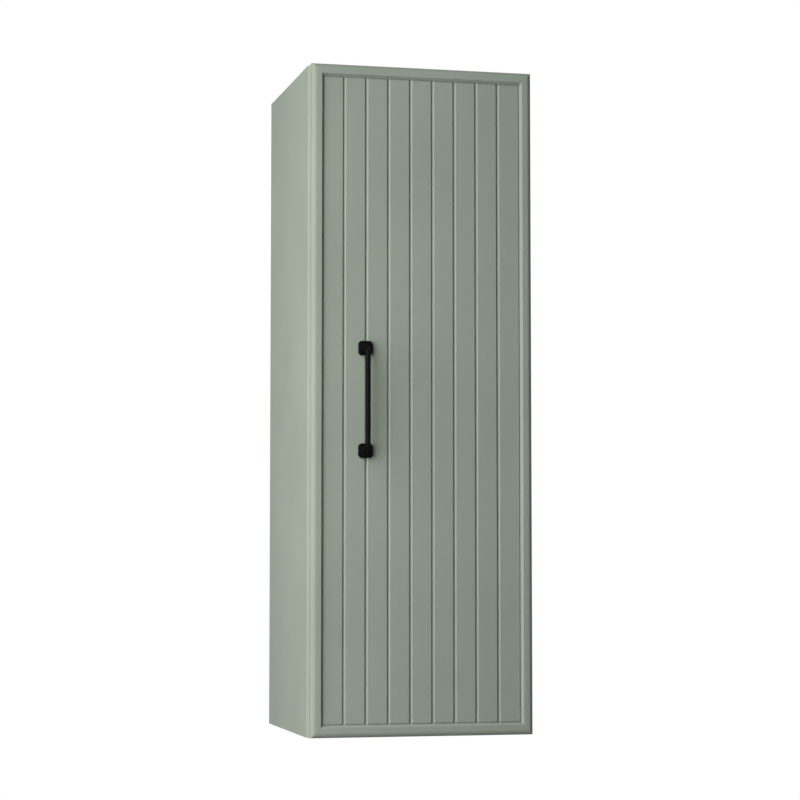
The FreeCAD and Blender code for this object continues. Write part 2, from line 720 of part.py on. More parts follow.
def rosette(which, height):
    """A square plate with rounded corners and edges, and a collar round the bar."""
    across = "dims.rosette / 2"
    body, plate = slab("rosette_plate_" + which, "XZ_Plane", f"-{SUNK}",
                       rectangle((f"{HANDLE_X} - {across}", f"{height} - {across}"),
                                 (f"{HANDLE_X} + {across}", f"{height} + {across}")), "dims.rosette_thick")
    corners = [{"x": number(f"{HANDLE_X} + {side} * {across}"), "z": number(f"{height} + {rise} * {across}")}
               for side in (-1, 1) for rise in (-1, 1)]
    rounded = round_edges(body, plate, "dims.rosette_corner", corners)
    round_edges(body, rounded, "dims.rosette_edge", [{"y": number(f"{SUNK} - dims.rosette_thick")}])
    collar = rod("rosette_collar_" + which, "dims.rosette_collar", "dims.rosette_thick + dims.collar_high",
                 (HANDLE_X, SUNK, height), OUT)
    bore = rod("rosette_bore_" + which, "dims.bar_radius + dims.fit_play",
               "dims.rosette_thick + dims.collar_high", (HANDLE_X, SUNK, height), OUT)
    solid = joined("rosette_solid_" + which, [body, collar])
    keep("handle_rosette_" + which, cut_away("rosette_" + which, solid, [bore]))


handle_bar()
for which, height in HANDLE_ENDS.items():
    rosette(which, height)
handle_screws = [screw("handle_screw", "dims.handle_screw",
                       "dims.door_thick - dims.bevel + dims.handle_thread - dims.hole_spare",
                       (HANDLE_X, DOOR_BACK, height), OUT) for height in HANDLE_ENDS.values()]
keep("handle_screws", gather("handle_screws_both", handle_screws))


# Hinges: a cup in the door, a goose-neck arm that turns on one pin, and a plate on the side

PIVOT = (from_side("dims.pivot_in"), from_front("dims.pivot_out"))
ARM_FOOT = "(dims.panel + dims.plate_thick)"
ARM_TOP = "(dims.panel + dims.plate_thick + dims.arm_thick)"


def hinge_cup(where, middle):
    """A cup with a screwed flange, a slot for the arm and a bore for the pin."""
    drum = rod("cup_drum", "dims.cup_radius", "dims.cup_deep", (CUP_X, DOOR_BACK, middle), OUT)
    disc = rod("cup_disc", "dims.cup_radius - dims.flange_set", "dims.flange_thick",
               (CUP_X, DOOR_BACK, middle), BACK)
    ears = block("cup_ears",
                 (f"{CUP_SCREW_X} - dims.ear_half", DOOR_BACK, f"{middle} - dims.flange_half"),
                 (f"{CUP_SCREW_X} + dims.ear_half", f"{DOOR_BACK} + dims.flange_thick",
                  f"{middle} + dims.flange_half"))
    slot = block("cup_slot",
                 (f"{CUP_X} - dims.cup_radius + dims.slot_wall", f"{DOOR_BACK} - dims.slot_deep",
                  f"{middle} - dims.slot_half"),
                 (from_side("dims.slot_start"), f"{DOOR_BACK} + dims.flange_thick",
                  f"{middle} + dims.slot_half"))
    pin_bore = rod("cup_pin_bore", "dims.pivot_pin + dims.fit_play / 2", "2 * dims.pivot_half",
                   (*PIVOT, f"({middle} - dims.pivot_half)"), UP)
    screw_holes = [rod("cup_screw_hole", "dims.cup_screw + dims.fit_play", "dims.flange_thick",
                       (CUP_SCREW_X, DOOR_BACK, f"({middle} {end})"), BACK) for end in CUP_SCREW_ENDS]
    shell = joined("cup_shell_" + where, [drum, disc, ears])
    keep("hinge_cup_" + where, cut_away("cup_" + where, shell, [slot, pin_bore] + screw_holes))


def hinge_arm(where, middle):
    """A narrow goose neck with an eye at the pin, and a wider bar on the plate."""
    neck_high = "(dims.neck_low + dims.neck_thick)"
    bend = [("dims.pivot_in", "dims.neck_low"), (ARM_FOOT, "dims.neck_low"), (ARM_FOOT, "-dims.arm_long"),
            (ARM_TOP, "-dims.arm_long"), (ARM_TOP, neck_high), ("dims.pivot_in", neck_high)]
    corners = [(from_side(inwards), from_front(outwards)) for inwards, outwards in bend]
    low = f"({middle} - dims.neck_half)"
    body, neck = slab("neck_" + where, "XY_Plane", low, corners, "2 * dims.neck_half")
    knee = {"x": number(from_side(ARM_TOP)), "y": number(from_front(neck_high))}
    round_edges(body, neck, "dims.knee_round", [knee])
    eye = rod("arm_eye", "dims.eye_radius", "2 * dims.neck_half", (*PIVOT, low), UP)
    bar = block("arm_bar",
                (from_side(ARM_TOP), f"{FRONT} + dims.arm_start", f"{middle} - dims.arm_half"),
                (from_side(ARM_FOOT), f"{FRONT} + dims.arm_long", f"{middle} + dims.arm_half"))
    pin_hole = rod("arm_pin_hole", "dims.pivot_pin + dims.fit_play", "2 * dims.neck_half",
                   (*PIVOT, low), UP)
    holes = [rod("arm_hole", "dims.arm_screw + dims.fit_play", "dims.arm_thick",
                 (from_side(ARM_TOP), line, middle), RIGHT) for line in ARM_SCREW_LINES]
    solid = joined("arm_solid_" + where, [body, eye, bar])
    keep("hinge_arm_" + where, cut_away("arm_" + where, solid, [pin_hole] + holes))


def hinge_plate(where, middle):
    """A cross-shaped plate: a bar under the arm and two wings with screw holes."""
    face = from_side("dims.panel")
    top = from_side(ARM_FOOT)
    line = f"({FRONT} + dims.plate_line)"
    bar = block("plate_bar", (top, f"{FRONT} + dims.plate_start", f"{middle} - dims.arm_half"),
                (face, f"{FRONT} + dims.plate_long", f"{middle} + dims.arm_half"))
    wings = block("plate_wings", (top, f"{line} - dims.plate_wing_half", f"{middle} - dims.plate_wing"),
                  (face, f"{line} + dims.plate_wing_half", f"{middle} + dims.plate_wing"))
    holes = [rod("plate_hole", "dims.plate_screw + dims.fit_play", "dims.plate_thick",
                 (top, line, f"({middle} {end})"), RIGHT) for end in PLATE_SCREW_ENDS]
    holes += [rod("plate_arm_hole", "dims.arm_screw + dims.fit_play", "dims.plate_thick",
                  (top, arm_line, middle), RIGHT) for arm_line in ARM_SCREW_LINES]
    keep("hinge_plate_" + where, cut_away("plate_" + where, joined("plate_solid", [bar, wings]), holes))


hinge_pins = []
cup_screws = []
plate_screws = []
arm_screws = []
for where, middle in HINGE_MIDDLES.items():
    hinge_cup(where, middle)
    hinge_arm(where, middle)
    hinge_plate(where, middle)
    hinge_pins.append(rod("hinge_pin", "dims.pivot_pin", "2 * dims.pivot_half - dims.fit_play",
                          (*PIVOT, f"({middle} - dims.pivot_half)"), UP))
    cup_screws += [screw("cup_screw", "dims.cup_screw",
                         "dims.cup_screw_long - dims.hole_spare + dims.flange_thick",
                         (CUP_SCREW_X, f"({DOOR_BACK} + dims.flange_thick)", f"({middle} {end})"), OUT)
                   for end in CUP_SCREW_ENDS]
    plate_screws += [screw("plate_screw", "dims.plate_screw", "dims.plate_thick + dims.plate_screw_deep",
                           (from_side(ARM_FOOT), f"({FRONT} + dims.plate_line)", f"({middle} {end})"), RIGHT)
                     for end in PLATE_SCREW_ENDS]
    arm_screws += [screw("arm_screw", "dims.arm_screw",
                         "dims.arm_thick + dims.plate_thick - dims.hole_spare",
                         (from_side(ARM_TOP), line, middle), RIGHT) for line in ARM_SCREW_LINES]
keep("hinge_pins", gather("hinge_pins_all", hinge_pins))
keep("hinge_cup_screws", gather("cup_screws_all", cup_screws))
keep("hinge_plate_screws", gather("plate_screws_all", plate_screws))
keep("hinge_arm_screws", gather("arm_screws_all", arm_screws))


# Magnetic catch on the left side, and its strike on the door

def catch():
    """A housing with a magnet between two pole plates, and the steel strike that they hold."""
    wall = f"-{INSIDE}"
    front = f"({FRONT} + dims.catch_set)"
    rear = f"({FRONT} + dims.catch_set + dims.catch_deep)"
    magnet_rear = f"({rear} - dims.catch_floor)"
    magnet_reach = "dims.magnet_wide / 2"
    pole_reach = "(dims.magnet_wide / 2 + dims.pole_thick + dims.fit_play)"
    housing = block("catch_housing", (wall, front, f"{HANDLE_Z} - dims.catch_half"),
                    (f"{wall} + dims.catch_wide", rear, f"{HANDLE_Z} + dims.catch_half"))
    well = block("catch_well",
                 (f"{STRIKE_X} - {pole_reach} - dims.fit_play", front,
                  f"{HANDLE_Z} - dims.pole_half - dims.fit_play"),
                 (f"{STRIKE_X} + {pole_reach} + dims.fit_play", magnet_rear,
                  f"{HANDLE_Z} + dims.pole_half + dims.fit_play"))
    line = f"({FRONT} + dims.catch_set + dims.catch_deep / 2)"
    face = f"({wall} + dims.catch_wide)"
    holes = [rod("catch_hole", "dims.catch_screw + dims.fit_play", "dims.catch_wide",
                 (face, line, height), LEFT) for height in CATCH_SCREWS]
    keep("catch_body", cut_away("catch", housing, [well] + holes))
    magnet = block("magnet",
                   (f"{STRIKE_X} - {magnet_reach}", f"{front} + dims.magnet_set",
                    f"{HANDLE_Z} - dims.magnet_half"),
                   (f"{STRIKE_X} + {magnet_reach}", magnet_rear, f"{HANDLE_Z} + dims.magnet_half"))
    keep("catch_magnet", magnet)
    poles = [block("pole",
                   (f"{STRIKE_X} + {start}", f"{FRONT} - dims.pole_out", f"{HANDLE_Z} - dims.pole_half"),
                   (f"{STRIKE_X} + {start} + dims.pole_thick", magnet_rear,
                    f"{HANDLE_Z} + dims.pole_half"))
             for start in (f"-{pole_reach}", f"({magnet_reach} + dims.fit_play)")]
    keep("catch_poles", gather("poles", poles))
    keep("catch_screws", gather("catch_screws_both", [
        screw("catch_screw", "dims.catch_screw", "dims.catch_wide + dims.catch_screw_deep",
              (face, line, height), LEFT)
        for height in CATCH_SCREWS]))


def strike():
    """A steel plate on the back of the door, with a screw near each end."""
    across = "dims.strike_wide / 2"
    face = f"({DOOR_BACK} + dims.strike_thick)"
    plate = block("strike_plate", (f"{STRIKE_X} - {across}", DOOR_BACK, f"{HANDLE_Z} - dims.strike_half"),
                  (f"{STRIKE_X} + {across}", face, f"{HANDLE_Z} + dims.strike_half"))
    holes = [rod("strike_hole", "dims.catch_screw + dims.fit_play", "dims.strike_thick",
                 (STRIKE_X, DOOR_BACK, height), BACK) for height in STRIKE_SCREWS]
    keep("catch_strike", cut_away("strike", plate, holes))
    keep("strike_screws", gather("strike_screws_both", [
        screw("strike_screw", "dims.catch_screw",
              "dims.strike_screw_long - dims.hole_spare + dims.strike_thick",
              (STRIKE_X, face, height), OUT) for height in STRIKE_SCREWS]))


catch()
strike()


# Hangers: a body on each side panel, its hook and cover, and the plate on the wall

HOOK_MIDDLE = f"({INSIDE} - dims.hanger_wide / 2)"
HOOK_LOW = "(dims.hook_top - dims.hook_thick)"
HANGER_REAR = f"({BACK_FACE} - dims.hanger_set)"
HANGER_FRONT = f"({HANGER_REAR} - dims.hanger_deep)"
HOOK_END = f"({HANGER_FRONT} + dims.hook_room)"
HANGER_SCREWS = {
    "(dims.hook_top - dims.hook_thick / 2)": "dims.hook_room - dims.hole_spare",
    "dims.hanger_screw_low": "dims.hanger_screw_long",
}


def hanger_body(hand):
    """A block with two bosses in the side panel, a slot for the hook and holes for its screws."""
    sign, outwards = HANDS[hand]
    heart = sided_block(hand, "hanger_block",
                        (f"{INSIDE} - dims.hanger_wide", HANGER_FRONT, "-dims.hanger_low"),
                        (INSIDE, HANGER_REAR, f"{CEILING} - dims.hanger_gap"))
    bosses = [rod("hanger_boss", "dims.hanger_boss", "dims.dowel_side - dims.hole_spare",
                  (f"({sign} * {INSIDE})", BOSS_LINE, height), outwards) for height in BOSS_HEIGHTS]
    slot = sided_block(hand, "hook_slot",
                       (f"{HOOK_MIDDLE} - dims.hook_wide / 2 - dims.hook_play",
                        f"{HOOK_END} - dims.hook_play", f"{HOOK_LOW} - dims.hook_play"),
                       (f"{HOOK_MIDDLE} + dims.hook_wide / 2 + dims.hook_play", HANGER_REAR,
                        "dims.hook_top + dims.hook_play"))
    holes = [rod("hanger_hole", "dims.hanger_screw + dims.fit_play", f"{deep} + dims.hole_spare",
                 (f"({sign} * {HOOK_MIDDLE})", HANGER_FRONT, height), BACK)
             for height, deep in HANGER_SCREWS.items()]
    solid = joined("hanger_solid_" + hand, [heart] + bosses)
    keep("hanger_body_" + hand, cut_away("hanger_" + hand, solid, [slot] + holes))


def hanger_hook(hand):
    """A flat steel hook that runs back through the notch and turns down behind the wall plate's lip."""
    tip_front = "(dims.wall_plate_thick - dims.lip_out + dims.hook_clear)"
    tip_rear = f"({tip_front} + dims.hook_tip)"
    profile = [(HOOK_END, HOOK_LOW), (tip_front, HOOK_LOW), (tip_front, "dims.hook_top - dims.hook_drop"),
               (tip_rear, "dims.hook_top - dims.hook_drop"), (tip_rear, "dims.hook_top"),
               (HOOK_END, "dims.hook_top")]
    sign, _ = HANDS[hand]
    level = f"({sign} * {HOOK_MIDDLE} - dims.hook_wide / 2)"
    body, hook = slab("hook_" + hand, "YZ_Plane", level, profile, "dims.hook_wide")
    round_edges(body, hook, "dims.hook_tip / 2", [{"y": number(tip_rear), "z": number("dims.hook_top")}])
    keep("hanger_hook_" + hand, body)


def hanger_cover(hand):
    """A thin cover with a front, an inner side and a floor, open towards the panels."""
    wide = f"({INSIDE} - dims.hanger_wide - 2 * dims.cover_thick)"
    front = f"({HANGER_FRONT} - dims.cover_room - dims.cover_thick)"
    low = "(-dims.hanger_low - 2 * dims.cover_thick)"
    corner = (INSIDE, HANGER_REAR, f"{CEILING} - dims.cover_play")
    shell = sided_block(hand, "cover_shell", (wide, front, low), corner)
    room = sided_block(hand, "cover_room",
                       (f"{wide} + dims.cover_thick", f"{front} + dims.cover_thick",
                        f"{low} + dims.cover_thick"), corner)
    keep("hanger_cover_" + hand, cut_away("cover_" + hand, shell, [room]))


def wall_plate(hand):
    """A bent steel plate: flat on the wall below, stepped forward to a lip above."""
    thick = "dims.wall_plate_thick"
    lip_top = f"({HOOK_LOW} - dims.lip_play)"
    bend = "dims.wall_plate_bend"
    profile = [("0", "-dims.wall_plate_low"), ("0", bend), (f"{thick} - dims.lip_out", bend),
               (f"{thick} - dims.lip_out", lip_top), ("-dims.lip_out", lip_top),
               ("-dims.lip_out", f"{bend} - {thick}"), (f"-{thick}", f"{bend} - {thick}"),
               (f"-{thick}", "-dims.wall_plate_low")]
    sign, _ = HANDS[hand]
    centre = f"({sign} * dims.wall_span / 2)"
    body, _ = slab("wall_sheet_" + hand, "YZ_Plane", f"({centre} - dims.wall_plate_wide / 2)", profile,
                   "dims.wall_plate_wide")
    holes = [rod("wall_hole", "dims.wall_hole", thick, (centre, "0", f"({rise} * dims.wall_rise / 2)"), OUT)
             for rise in (-1, 1)]
    keep("wall_plate_" + hand, cut_away("wall_" + hand, body, holes))


hanger_screws = []
for hand, (sign, _) in HANDS.items():
    hanger_body(hand)
    hanger_hook(hand)
    hanger_cover(hand)
    wall_plate(hand)
    hanger_screws += [screw("hanger_screw", "dims.hanger_screw", deep,
                            (f"({sign} * {HOOK_MIDDLE})", HANGER_FRONT, height), BACK)
                      for height, deep in HANGER_SCREWS.items()]
keep("hanger_screws", gather("hanger_screws_all", hanger_screws))


# Check every object, then write one file for each piece

doc.recompute()
for thing in doc.Objects:
    if "Invalid" in thing.State or "Error" in thing.State:
        raise RuntimeError(f"{thing.Name} failed: {thing.State}")
for node, thing in pieces.items():
    if thing.Shape.isNull() or not thing.Shape.isValid():
        raise RuntimeError(f"{node} has no valid shape")
for node, thing in pieces.items():
    thing.Shape.exportStep(f"parts/{node}.step")
    print(node, len(thing.Shape.Solids), "solids", round(thing.Shape.Volume / 1000, 2), "cm3")
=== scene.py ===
# %% [markdown]
# # A wall-hung bathroom cabinet
# The cabinet is a tall lacquered box with one framed and grooved door, a black bar handle and hidden wall
# hangers. Its construction already exists as solids, so this lesson only dresses it: finer surfaces where
# a solid looks too sharp, a finish on every surface, light and a camera. The solids are loaded first,
# because every later piece takes its place from them.

# %% Load the solids
import json
import math

import bmesh
import bpy
import numpy as np
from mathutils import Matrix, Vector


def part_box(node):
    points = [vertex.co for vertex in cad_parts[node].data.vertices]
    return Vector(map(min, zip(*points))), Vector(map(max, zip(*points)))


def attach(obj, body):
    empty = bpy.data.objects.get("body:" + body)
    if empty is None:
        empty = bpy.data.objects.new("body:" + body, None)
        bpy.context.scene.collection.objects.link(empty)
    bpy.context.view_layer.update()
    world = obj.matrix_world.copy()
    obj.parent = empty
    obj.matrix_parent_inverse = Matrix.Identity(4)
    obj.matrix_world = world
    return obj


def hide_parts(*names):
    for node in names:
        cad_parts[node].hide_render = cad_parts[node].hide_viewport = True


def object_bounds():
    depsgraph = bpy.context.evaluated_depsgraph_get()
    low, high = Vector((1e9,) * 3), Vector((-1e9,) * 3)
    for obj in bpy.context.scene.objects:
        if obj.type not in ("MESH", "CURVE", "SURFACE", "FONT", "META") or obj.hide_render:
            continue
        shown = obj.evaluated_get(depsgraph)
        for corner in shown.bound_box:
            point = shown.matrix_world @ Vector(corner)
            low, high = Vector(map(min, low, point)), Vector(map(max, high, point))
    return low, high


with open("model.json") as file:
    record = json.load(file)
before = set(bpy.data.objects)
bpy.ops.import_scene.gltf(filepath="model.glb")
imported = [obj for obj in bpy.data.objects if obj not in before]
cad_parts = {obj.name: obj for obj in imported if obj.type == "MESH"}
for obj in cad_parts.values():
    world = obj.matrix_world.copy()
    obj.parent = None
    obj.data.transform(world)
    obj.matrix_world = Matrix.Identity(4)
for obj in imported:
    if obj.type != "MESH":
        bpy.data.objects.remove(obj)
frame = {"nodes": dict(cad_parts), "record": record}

MM = 0.001
solid_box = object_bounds()
print("solids:", len(frame["nodes"]), "from", tuple(solid_box[0]), "to", tuple(solid_box[1]))

# %% [markdown]
# ## Finishes: small helpers
# A finish is a node material. Everything on this cabinet is painted, plated or moulded, so each finish is
# one Principled shader, some noise for the unevenness that the real surface has, and a bump. Values that
# are the same all over go straight onto the shader's sockets. The noise reads Object coordinates, so a
# pattern stays put on its piece when the door swings.

# %% Helpers for finishes
FINISHES = {}
NOISE_LOW, NOISE_HIGH = 0.3, 0.7    # noise hardly goes beyond these


def new_finish(slot, **even):
    """A material with one Principled shader, kept under its slot; `even` holds values by socket name."""
    made = bpy.data.materials.new(slot)
    made.use_nodes = True
    shader = made.node_tree.nodes["Principled BSDF"]
    for socket, value in even.items():
        shader.inputs[socket.replace("_", " ")].default_value = value
    FINISHES[slot] = made
    return made, shader


def add_node(made, kind, **values):
    """A node of the material's tree, with values by socket name."""
    node = made.node_tree.nodes.new("ShaderNode" + kind)
    for socket, value in values.items():
        node.inputs[socket.replace("_", " ")].default_value = value
    return node


def join(made, output, target):
    """A link in the material's tree."""
    made.node_tree.links.new(output, target)


# %% Helpers for uneven surfaces
def uneven(made, scale, detail=2.0, stretch=(1, 1, 1)):
    """Noise over the piece's own coordinates, with `scale` lumps to the metre, stretched along the axes."""
    place = add_node(made, "TexCoord")
    turn = add_node(made, "Mapping", Scale=stretch)
    noise = add_node(made, "TexNoise", Scale=scale, Detail=detail)
    join(made, place.outputs["Object"], turn.inputs["Vector"])
    join(made, turn.outputs["Vector"], noise.inputs["Vector"])
    return noise.outputs["Fac"]


def gloss(made, shader, amount, low, high):
    """Roughness that goes from low to high with the noise."""
    reach = add_node(made, "MapRange", From_Min=NOISE_LOW, From_Max=NOISE_HIGH, To_Min=low, To_Max=high)
    join(made, amount, reach.inputs["Value"])
    join(made, reach.outputs["Result"], shader.inputs["Roughness"])


def tint(made, shader, amount, dark, light):
    """Base colour that goes from dark to light with the noise."""
    ramp = add_node(made, "ValToRGB")
    first, last = ramp.color_ramp.elements
    first.position, first.color = NOISE_LOW, (*dark, 1)
    last.position, last.color = NOISE_HIGH, (*light, 1)
    join(made, amount, ramp.inputs["Fac"])
    join(made, ramp.outputs["Color"], shader.inputs["Base Color"])


def relief(made, shader, amount, depth, strength=1.0):
    """A bump whose lumps are `depth` metres high."""
    bump = add_node(made, "Bump", Distance=depth, Strength=strength)
    join(made, amount, bump.inputs["Height"])
    join(made, bump.outputs["Normal"], shader.inputs["Normal"])


# %% [markdown]
# ## Sage-green lacquer
# The boards are sprayed with a matt grey-green lacquer. Sprayed paint is never quite even: it has a fine
# orange-peel skin, and its tone drifts slightly over a hand's breadth. The two show at different
# distances, so one noise carries the tone and the gloss, and a much finer one carries the bump. A matting
# agent in the paint scatters reflections, hence the high roughness and the low specular level.

# %% Green lacquer and the back board
LACQUER = np.array([0.300, 0.345, 0.285])
BACK_LACQUER = np.array([0.330, 0.370, 0.315])
TONE_DRIFT = 0.035
GLOSS_DRIFT = 0.012


def lacquer(slot, colour, skin_scale, skin_depth, rough):
    """Paint with a drifting tone, a drifting gloss and a fine skin."""
    made, shader = new_finish(slot, Specular_IOR_Level=0.2)
    drift = uneven(made, 5.0)
    tint(made, shader, drift, colour * (1 - TONE_DRIFT), colour * (1 + TONE_DRIFT))
    gloss(made, shader, drift, rough + GLOSS_DRIFT, rough - GLOSS_DRIFT)
    relief(made, shader, uneven(made, skin_scale, detail=1.0), skin_depth, strength=0.5)


lacquer("green_lacquer", LACQUER, 650, 0.02 * MM, 0.78)
lacquer("back_board", BACK_LACQUER, 1400, 0.05 * MM, 0.85)
print("lacquers:", ", ".join(FINISHES))

# %% [markdown]
# ## Black powder coat
# The handle is steel with a black powder coat. The powder melts into a skin of tiny even dimples, which
# spreads the highlight on the bends. A fine bump with a middling roughness gives that satin look, and a
# low specular level keeps the black deep under the white studio.

# %% Black coat
coat, coat_shader = new_finish("black_coat", Specular_IOR_Level=0.04)
dimples = uneven(coat, 2600, detail=1.0)
tint(coat, coat_shader, dimples, (0.002, 0.002, 0.002), (0.004, 0.004, 0.004))
gloss(coat, coat_shader, uneven(coat, 90), 0.34, 0.42)
relief(coat, coat_shader, dimples, 0.015 * MM, strength=0.6)
print("handle finish:", coat.name)

# %% [markdown]
# ## Plated steel
# Hinges are nickel-plated and a little warm; screws and cams are zinc-plated and a little blue. Both were
# pressed or tumbled before plating, so fine marks remain. Noise that is stretched along one axis gives
# drawn marks, and an unstretched one gives the cloudy tone of zinc.

# %% Nickel, zinc and the dark magnet
def plated(slot, dark, light, smooth, rough, stretch):
    """Metal with a clouded tone and fine marks that run along the stretched axis."""
    made, shader = new_finish(slot, Metallic=1.0)
    tint(made, shader, uneven(made, 160), dark, light)
    marks = uneven(made, 2400, detail=2.0, stretch=stretch)
    gloss(made, shader, marks, smooth, rough)
    relief(made, shader, marks, 0.002 * MM, strength=0.3)


plated("nickel_steel", (0.64, 0.63, 0.60), (0.70, 0.69, 0.66), 0.34, 0.42, (1.0, 0.05, 1.0))
plated("zinc_steel", (0.50, 0.515, 0.545), (0.60, 0.605, 0.615), 0.38, 0.52, (1, 1, 1))

ferrite, ferrite_shader = new_finish("magnet_block", Specular_IOR_Level=0.4)
grit = uneven(ferrite, 1500, detail=4.0)
tint(ferrite, ferrite_shader, grit, (0.028, 0.028, 0.030), (0.052, 0.052, 0.055))
gloss(ferrite, ferrite_shader, grit, 0.55, 0.75)
relief(ferrite, ferrite_shader, grit, 0.03 * MM)
print("metals:", ", ".join(list(FINISHES)[-3:]))

# %% [markdown]
# ## Plastics and wood
# The hanger housings are moulded in a die with a spark-eroded grain, so they are matt with a fine bump. The
# door buttons are soft and let light through. The dowels are beech, which shows short dark flecks along the
# grain; they are hidden in the corner joints, but they still get their own wood.

# %% White plastic, clear buttons and beech
moulded, moulded_shader = new_finish("white_plastic", Specular_IOR_Level=0.45)
grain = uneven(moulded, 1900, detail=2.0)
tint(moulded, moulded_shader, uneven(moulded, 40), (0.70, 0.70, 0.68), (0.74, 0.74, 0.72))
gloss(moulded, moulded_shader, grain, 0.42, 0.52)
relief(moulded, moulded_shader, grain, 0.02 * MM, strength=0.6)

clear, clear_shader = new_finish("soft_clear", Transmission_Weight=0.55, IOR=1.46)
haze = uneven(clear, 700)
tint(clear, clear_shader, haze, (0.72, 0.72, 0.70), (0.79, 0.79, 0.77))
gloss(clear, clear_shader, haze, 0.25, 0.40)

beech, beech_shader = new_finish("beech", Specular_IOR_Level=0.3)
fleck = uneven(beech, 1200, detail=4.0, stretch=(0.05, 1.0, 1.0))
tint(beech, beech_shader, fleck, (0.42, 0.27, 0.14), (0.60, 0.43, 0.26))
gloss(beech, beech_shader, fleck, 0.5, 0.65)
relief(beech, beech_shader, fleck, 0.05 * MM)
print("finishes:", len(FINISHES))

# %% [markdown]
# ## Put the finishes on the solids
# Each solid says in the record which slot it belongs to. Solids that are replaced further down stay hidden,
# so it does no harm to dress them all in one loop.

# %% Dress the solids
SLOT_OF = {part["node"]: part["material_slot"] for part in frame["record"]["subparts"]}
BODY_OF = {node: body for body, nodes in frame["record"]["behaviour"]["bodies"].items() for node in nodes}
for node, slot in SLOT_OF.items():
    frame["nodes"][node].data.materials.clear()
    frame["nodes"][node].data.materials.append(FINISHES[slot])
print("dressed:", len(SLOT_OF))

# %% [markdown]
# ## Lines, patches and pieces: small helpers
# Almost every piece here is a profile that is carried along something: round the door's edge, along a board,
# along the handle. Profiles are drawn as a few corners and a radius at each, which is how a maker would
# describe them. A piece is joined from such patches. Where patches meet the edge is crisp, and inside a patch
# the normals are weighted by area, so wide flats stay flat right up to their narrow rounded edges.

# %% Helpers for lines
def soft_line(corners, radii, steps=8):
    """Points on straight runs between corners, with an arc of the given radius at each inner corner.

    With h for half the angle between the two runs, the arc touches them at radius / tan(h) from the corner,
    and its centre is on the bisector at radius / sin(h). The points turn evenly from touch to touch.
    """
    corners = np.asarray(corners, dtype=float)
    parts = [corners[:1]]
    for before, corner, after, radius in zip(corners, corners[1:], corners[2:], radii):
        back = (before - corner) / np.linalg.norm(before - corner)
        ahead = (after - corner) / np.linalg.norm(after - corner)
        half = np.arccos(np.clip(back @ ahead, -1, 1)) / 2
        centre = corner + (back + ahead) / np.linalg.norm(back + ahead) * radius / np.sin(half)
        start = corner + back * radius / np.tan(half) - centre
        end = corner + ahead * radius / np.tan(half) - centre
        sweep = np.pi - 2 * half
        share = np.linspace(0, 1, steps + 1)[:, None]
        arc = (np.sin((1 - share) * sweep) * start + np.sin(share * sweep) * end) / np.sin(sweep)
        parts.append(centre + arc)
    parts.append(corners[-1:])
    return np.concatenate(parts)


def soft_loop(corners, radii, steps=8):
    """The same for a closed outline, where every corner is rounded."""
    corners = np.asarray(corners, dtype=float)
    around = np.vstack([corners[-1:], corners, corners[:1]])
    return soft_line(around, radii, steps)[1:-1]


def circle(radius, count=48):
    """Points (cos a, sin a) times the radius, for `count` even angles a."""
    angle = np.linspace(0, 2 * np.pi, count, endpoint=False)
    return radius * np.column_stack([np.cos(angle), np.sin(angle)])


# %% Helpers for patches
def patch(points, round_rows=False, round_columns=False):
    """A grid of points as a smooth patch of quads; a round direction joins its last line to its first."""
    rows, columns = points.shape[:2]
    row, column = np.meshgrid(np.arange(rows if round_rows else rows - 1),
                              np.arange(columns if round_columns else columns - 1), indexing="ij")
    below, beside = (row + 1) % rows, (column + 1) % columns
    corners = [row * columns + column, row * columns + beside,
               below * columns + beside, below * columns + column]
    return points.reshape(-1, 3), [np.stack(corners, axis=-1).reshape(-1, 4)]


def lid(points):
    """One flat face that has the points as its rim."""
    return points, [np.arange(len(points))[None, :]]


def together(*patches):
    """Several patches as one, so that the shading runs on over the lines where they meet."""
    starts = np.cumsum([0] + [len(points) for points, _ in patches])
    faces = [corners + start for (_, sets), start in zip(patches, starts) for corners in sets]
    return np.concatenate([points for points, _ in patches]), faces


def pierced(outline, holes):
    """A flat face with openings: triangles fill the room between an outline and the rims of its holes."""
    rims = [outline, *holes]
    starts = np.cumsum([0] + [len(rim) for rim in rims[:-1]])
    links = [np.stack([np.arange(len(rim)), np.roll(np.arange(len(rim)), -1)], axis=1) + start
             for rim, start in zip(rims, starts)]
    points = np.concatenate(rims)
    sheet = bpy.data.meshes.new("sheet")
    sheet.from_pydata(points.tolist(), np.concatenate(links).tolist(), [])
    work = bmesh.new()
    work.from_mesh(sheet)
    bmesh.ops.triangle_fill(work, use_beauty=True, edges=work.edges)
    work.to_mesh(sheet)
    work.free()
    corners = np.empty(len(sheet.loops), dtype=np.int32)
    sheet.loops.foreach_get("vertex_index", corners)
    bpy.data.meshes.remove(sheet)
    return points, [corners.reshape(-1, 3)]


# %% Helpers for normals
def read(items, field, width=1, kind=np.float32):
    """One field of all items as an array."""
    values = np.empty(len(items) * width, dtype=kind)
    items.foreach_get(field, values)
    return values.reshape(-1, width) if width > 1 else values


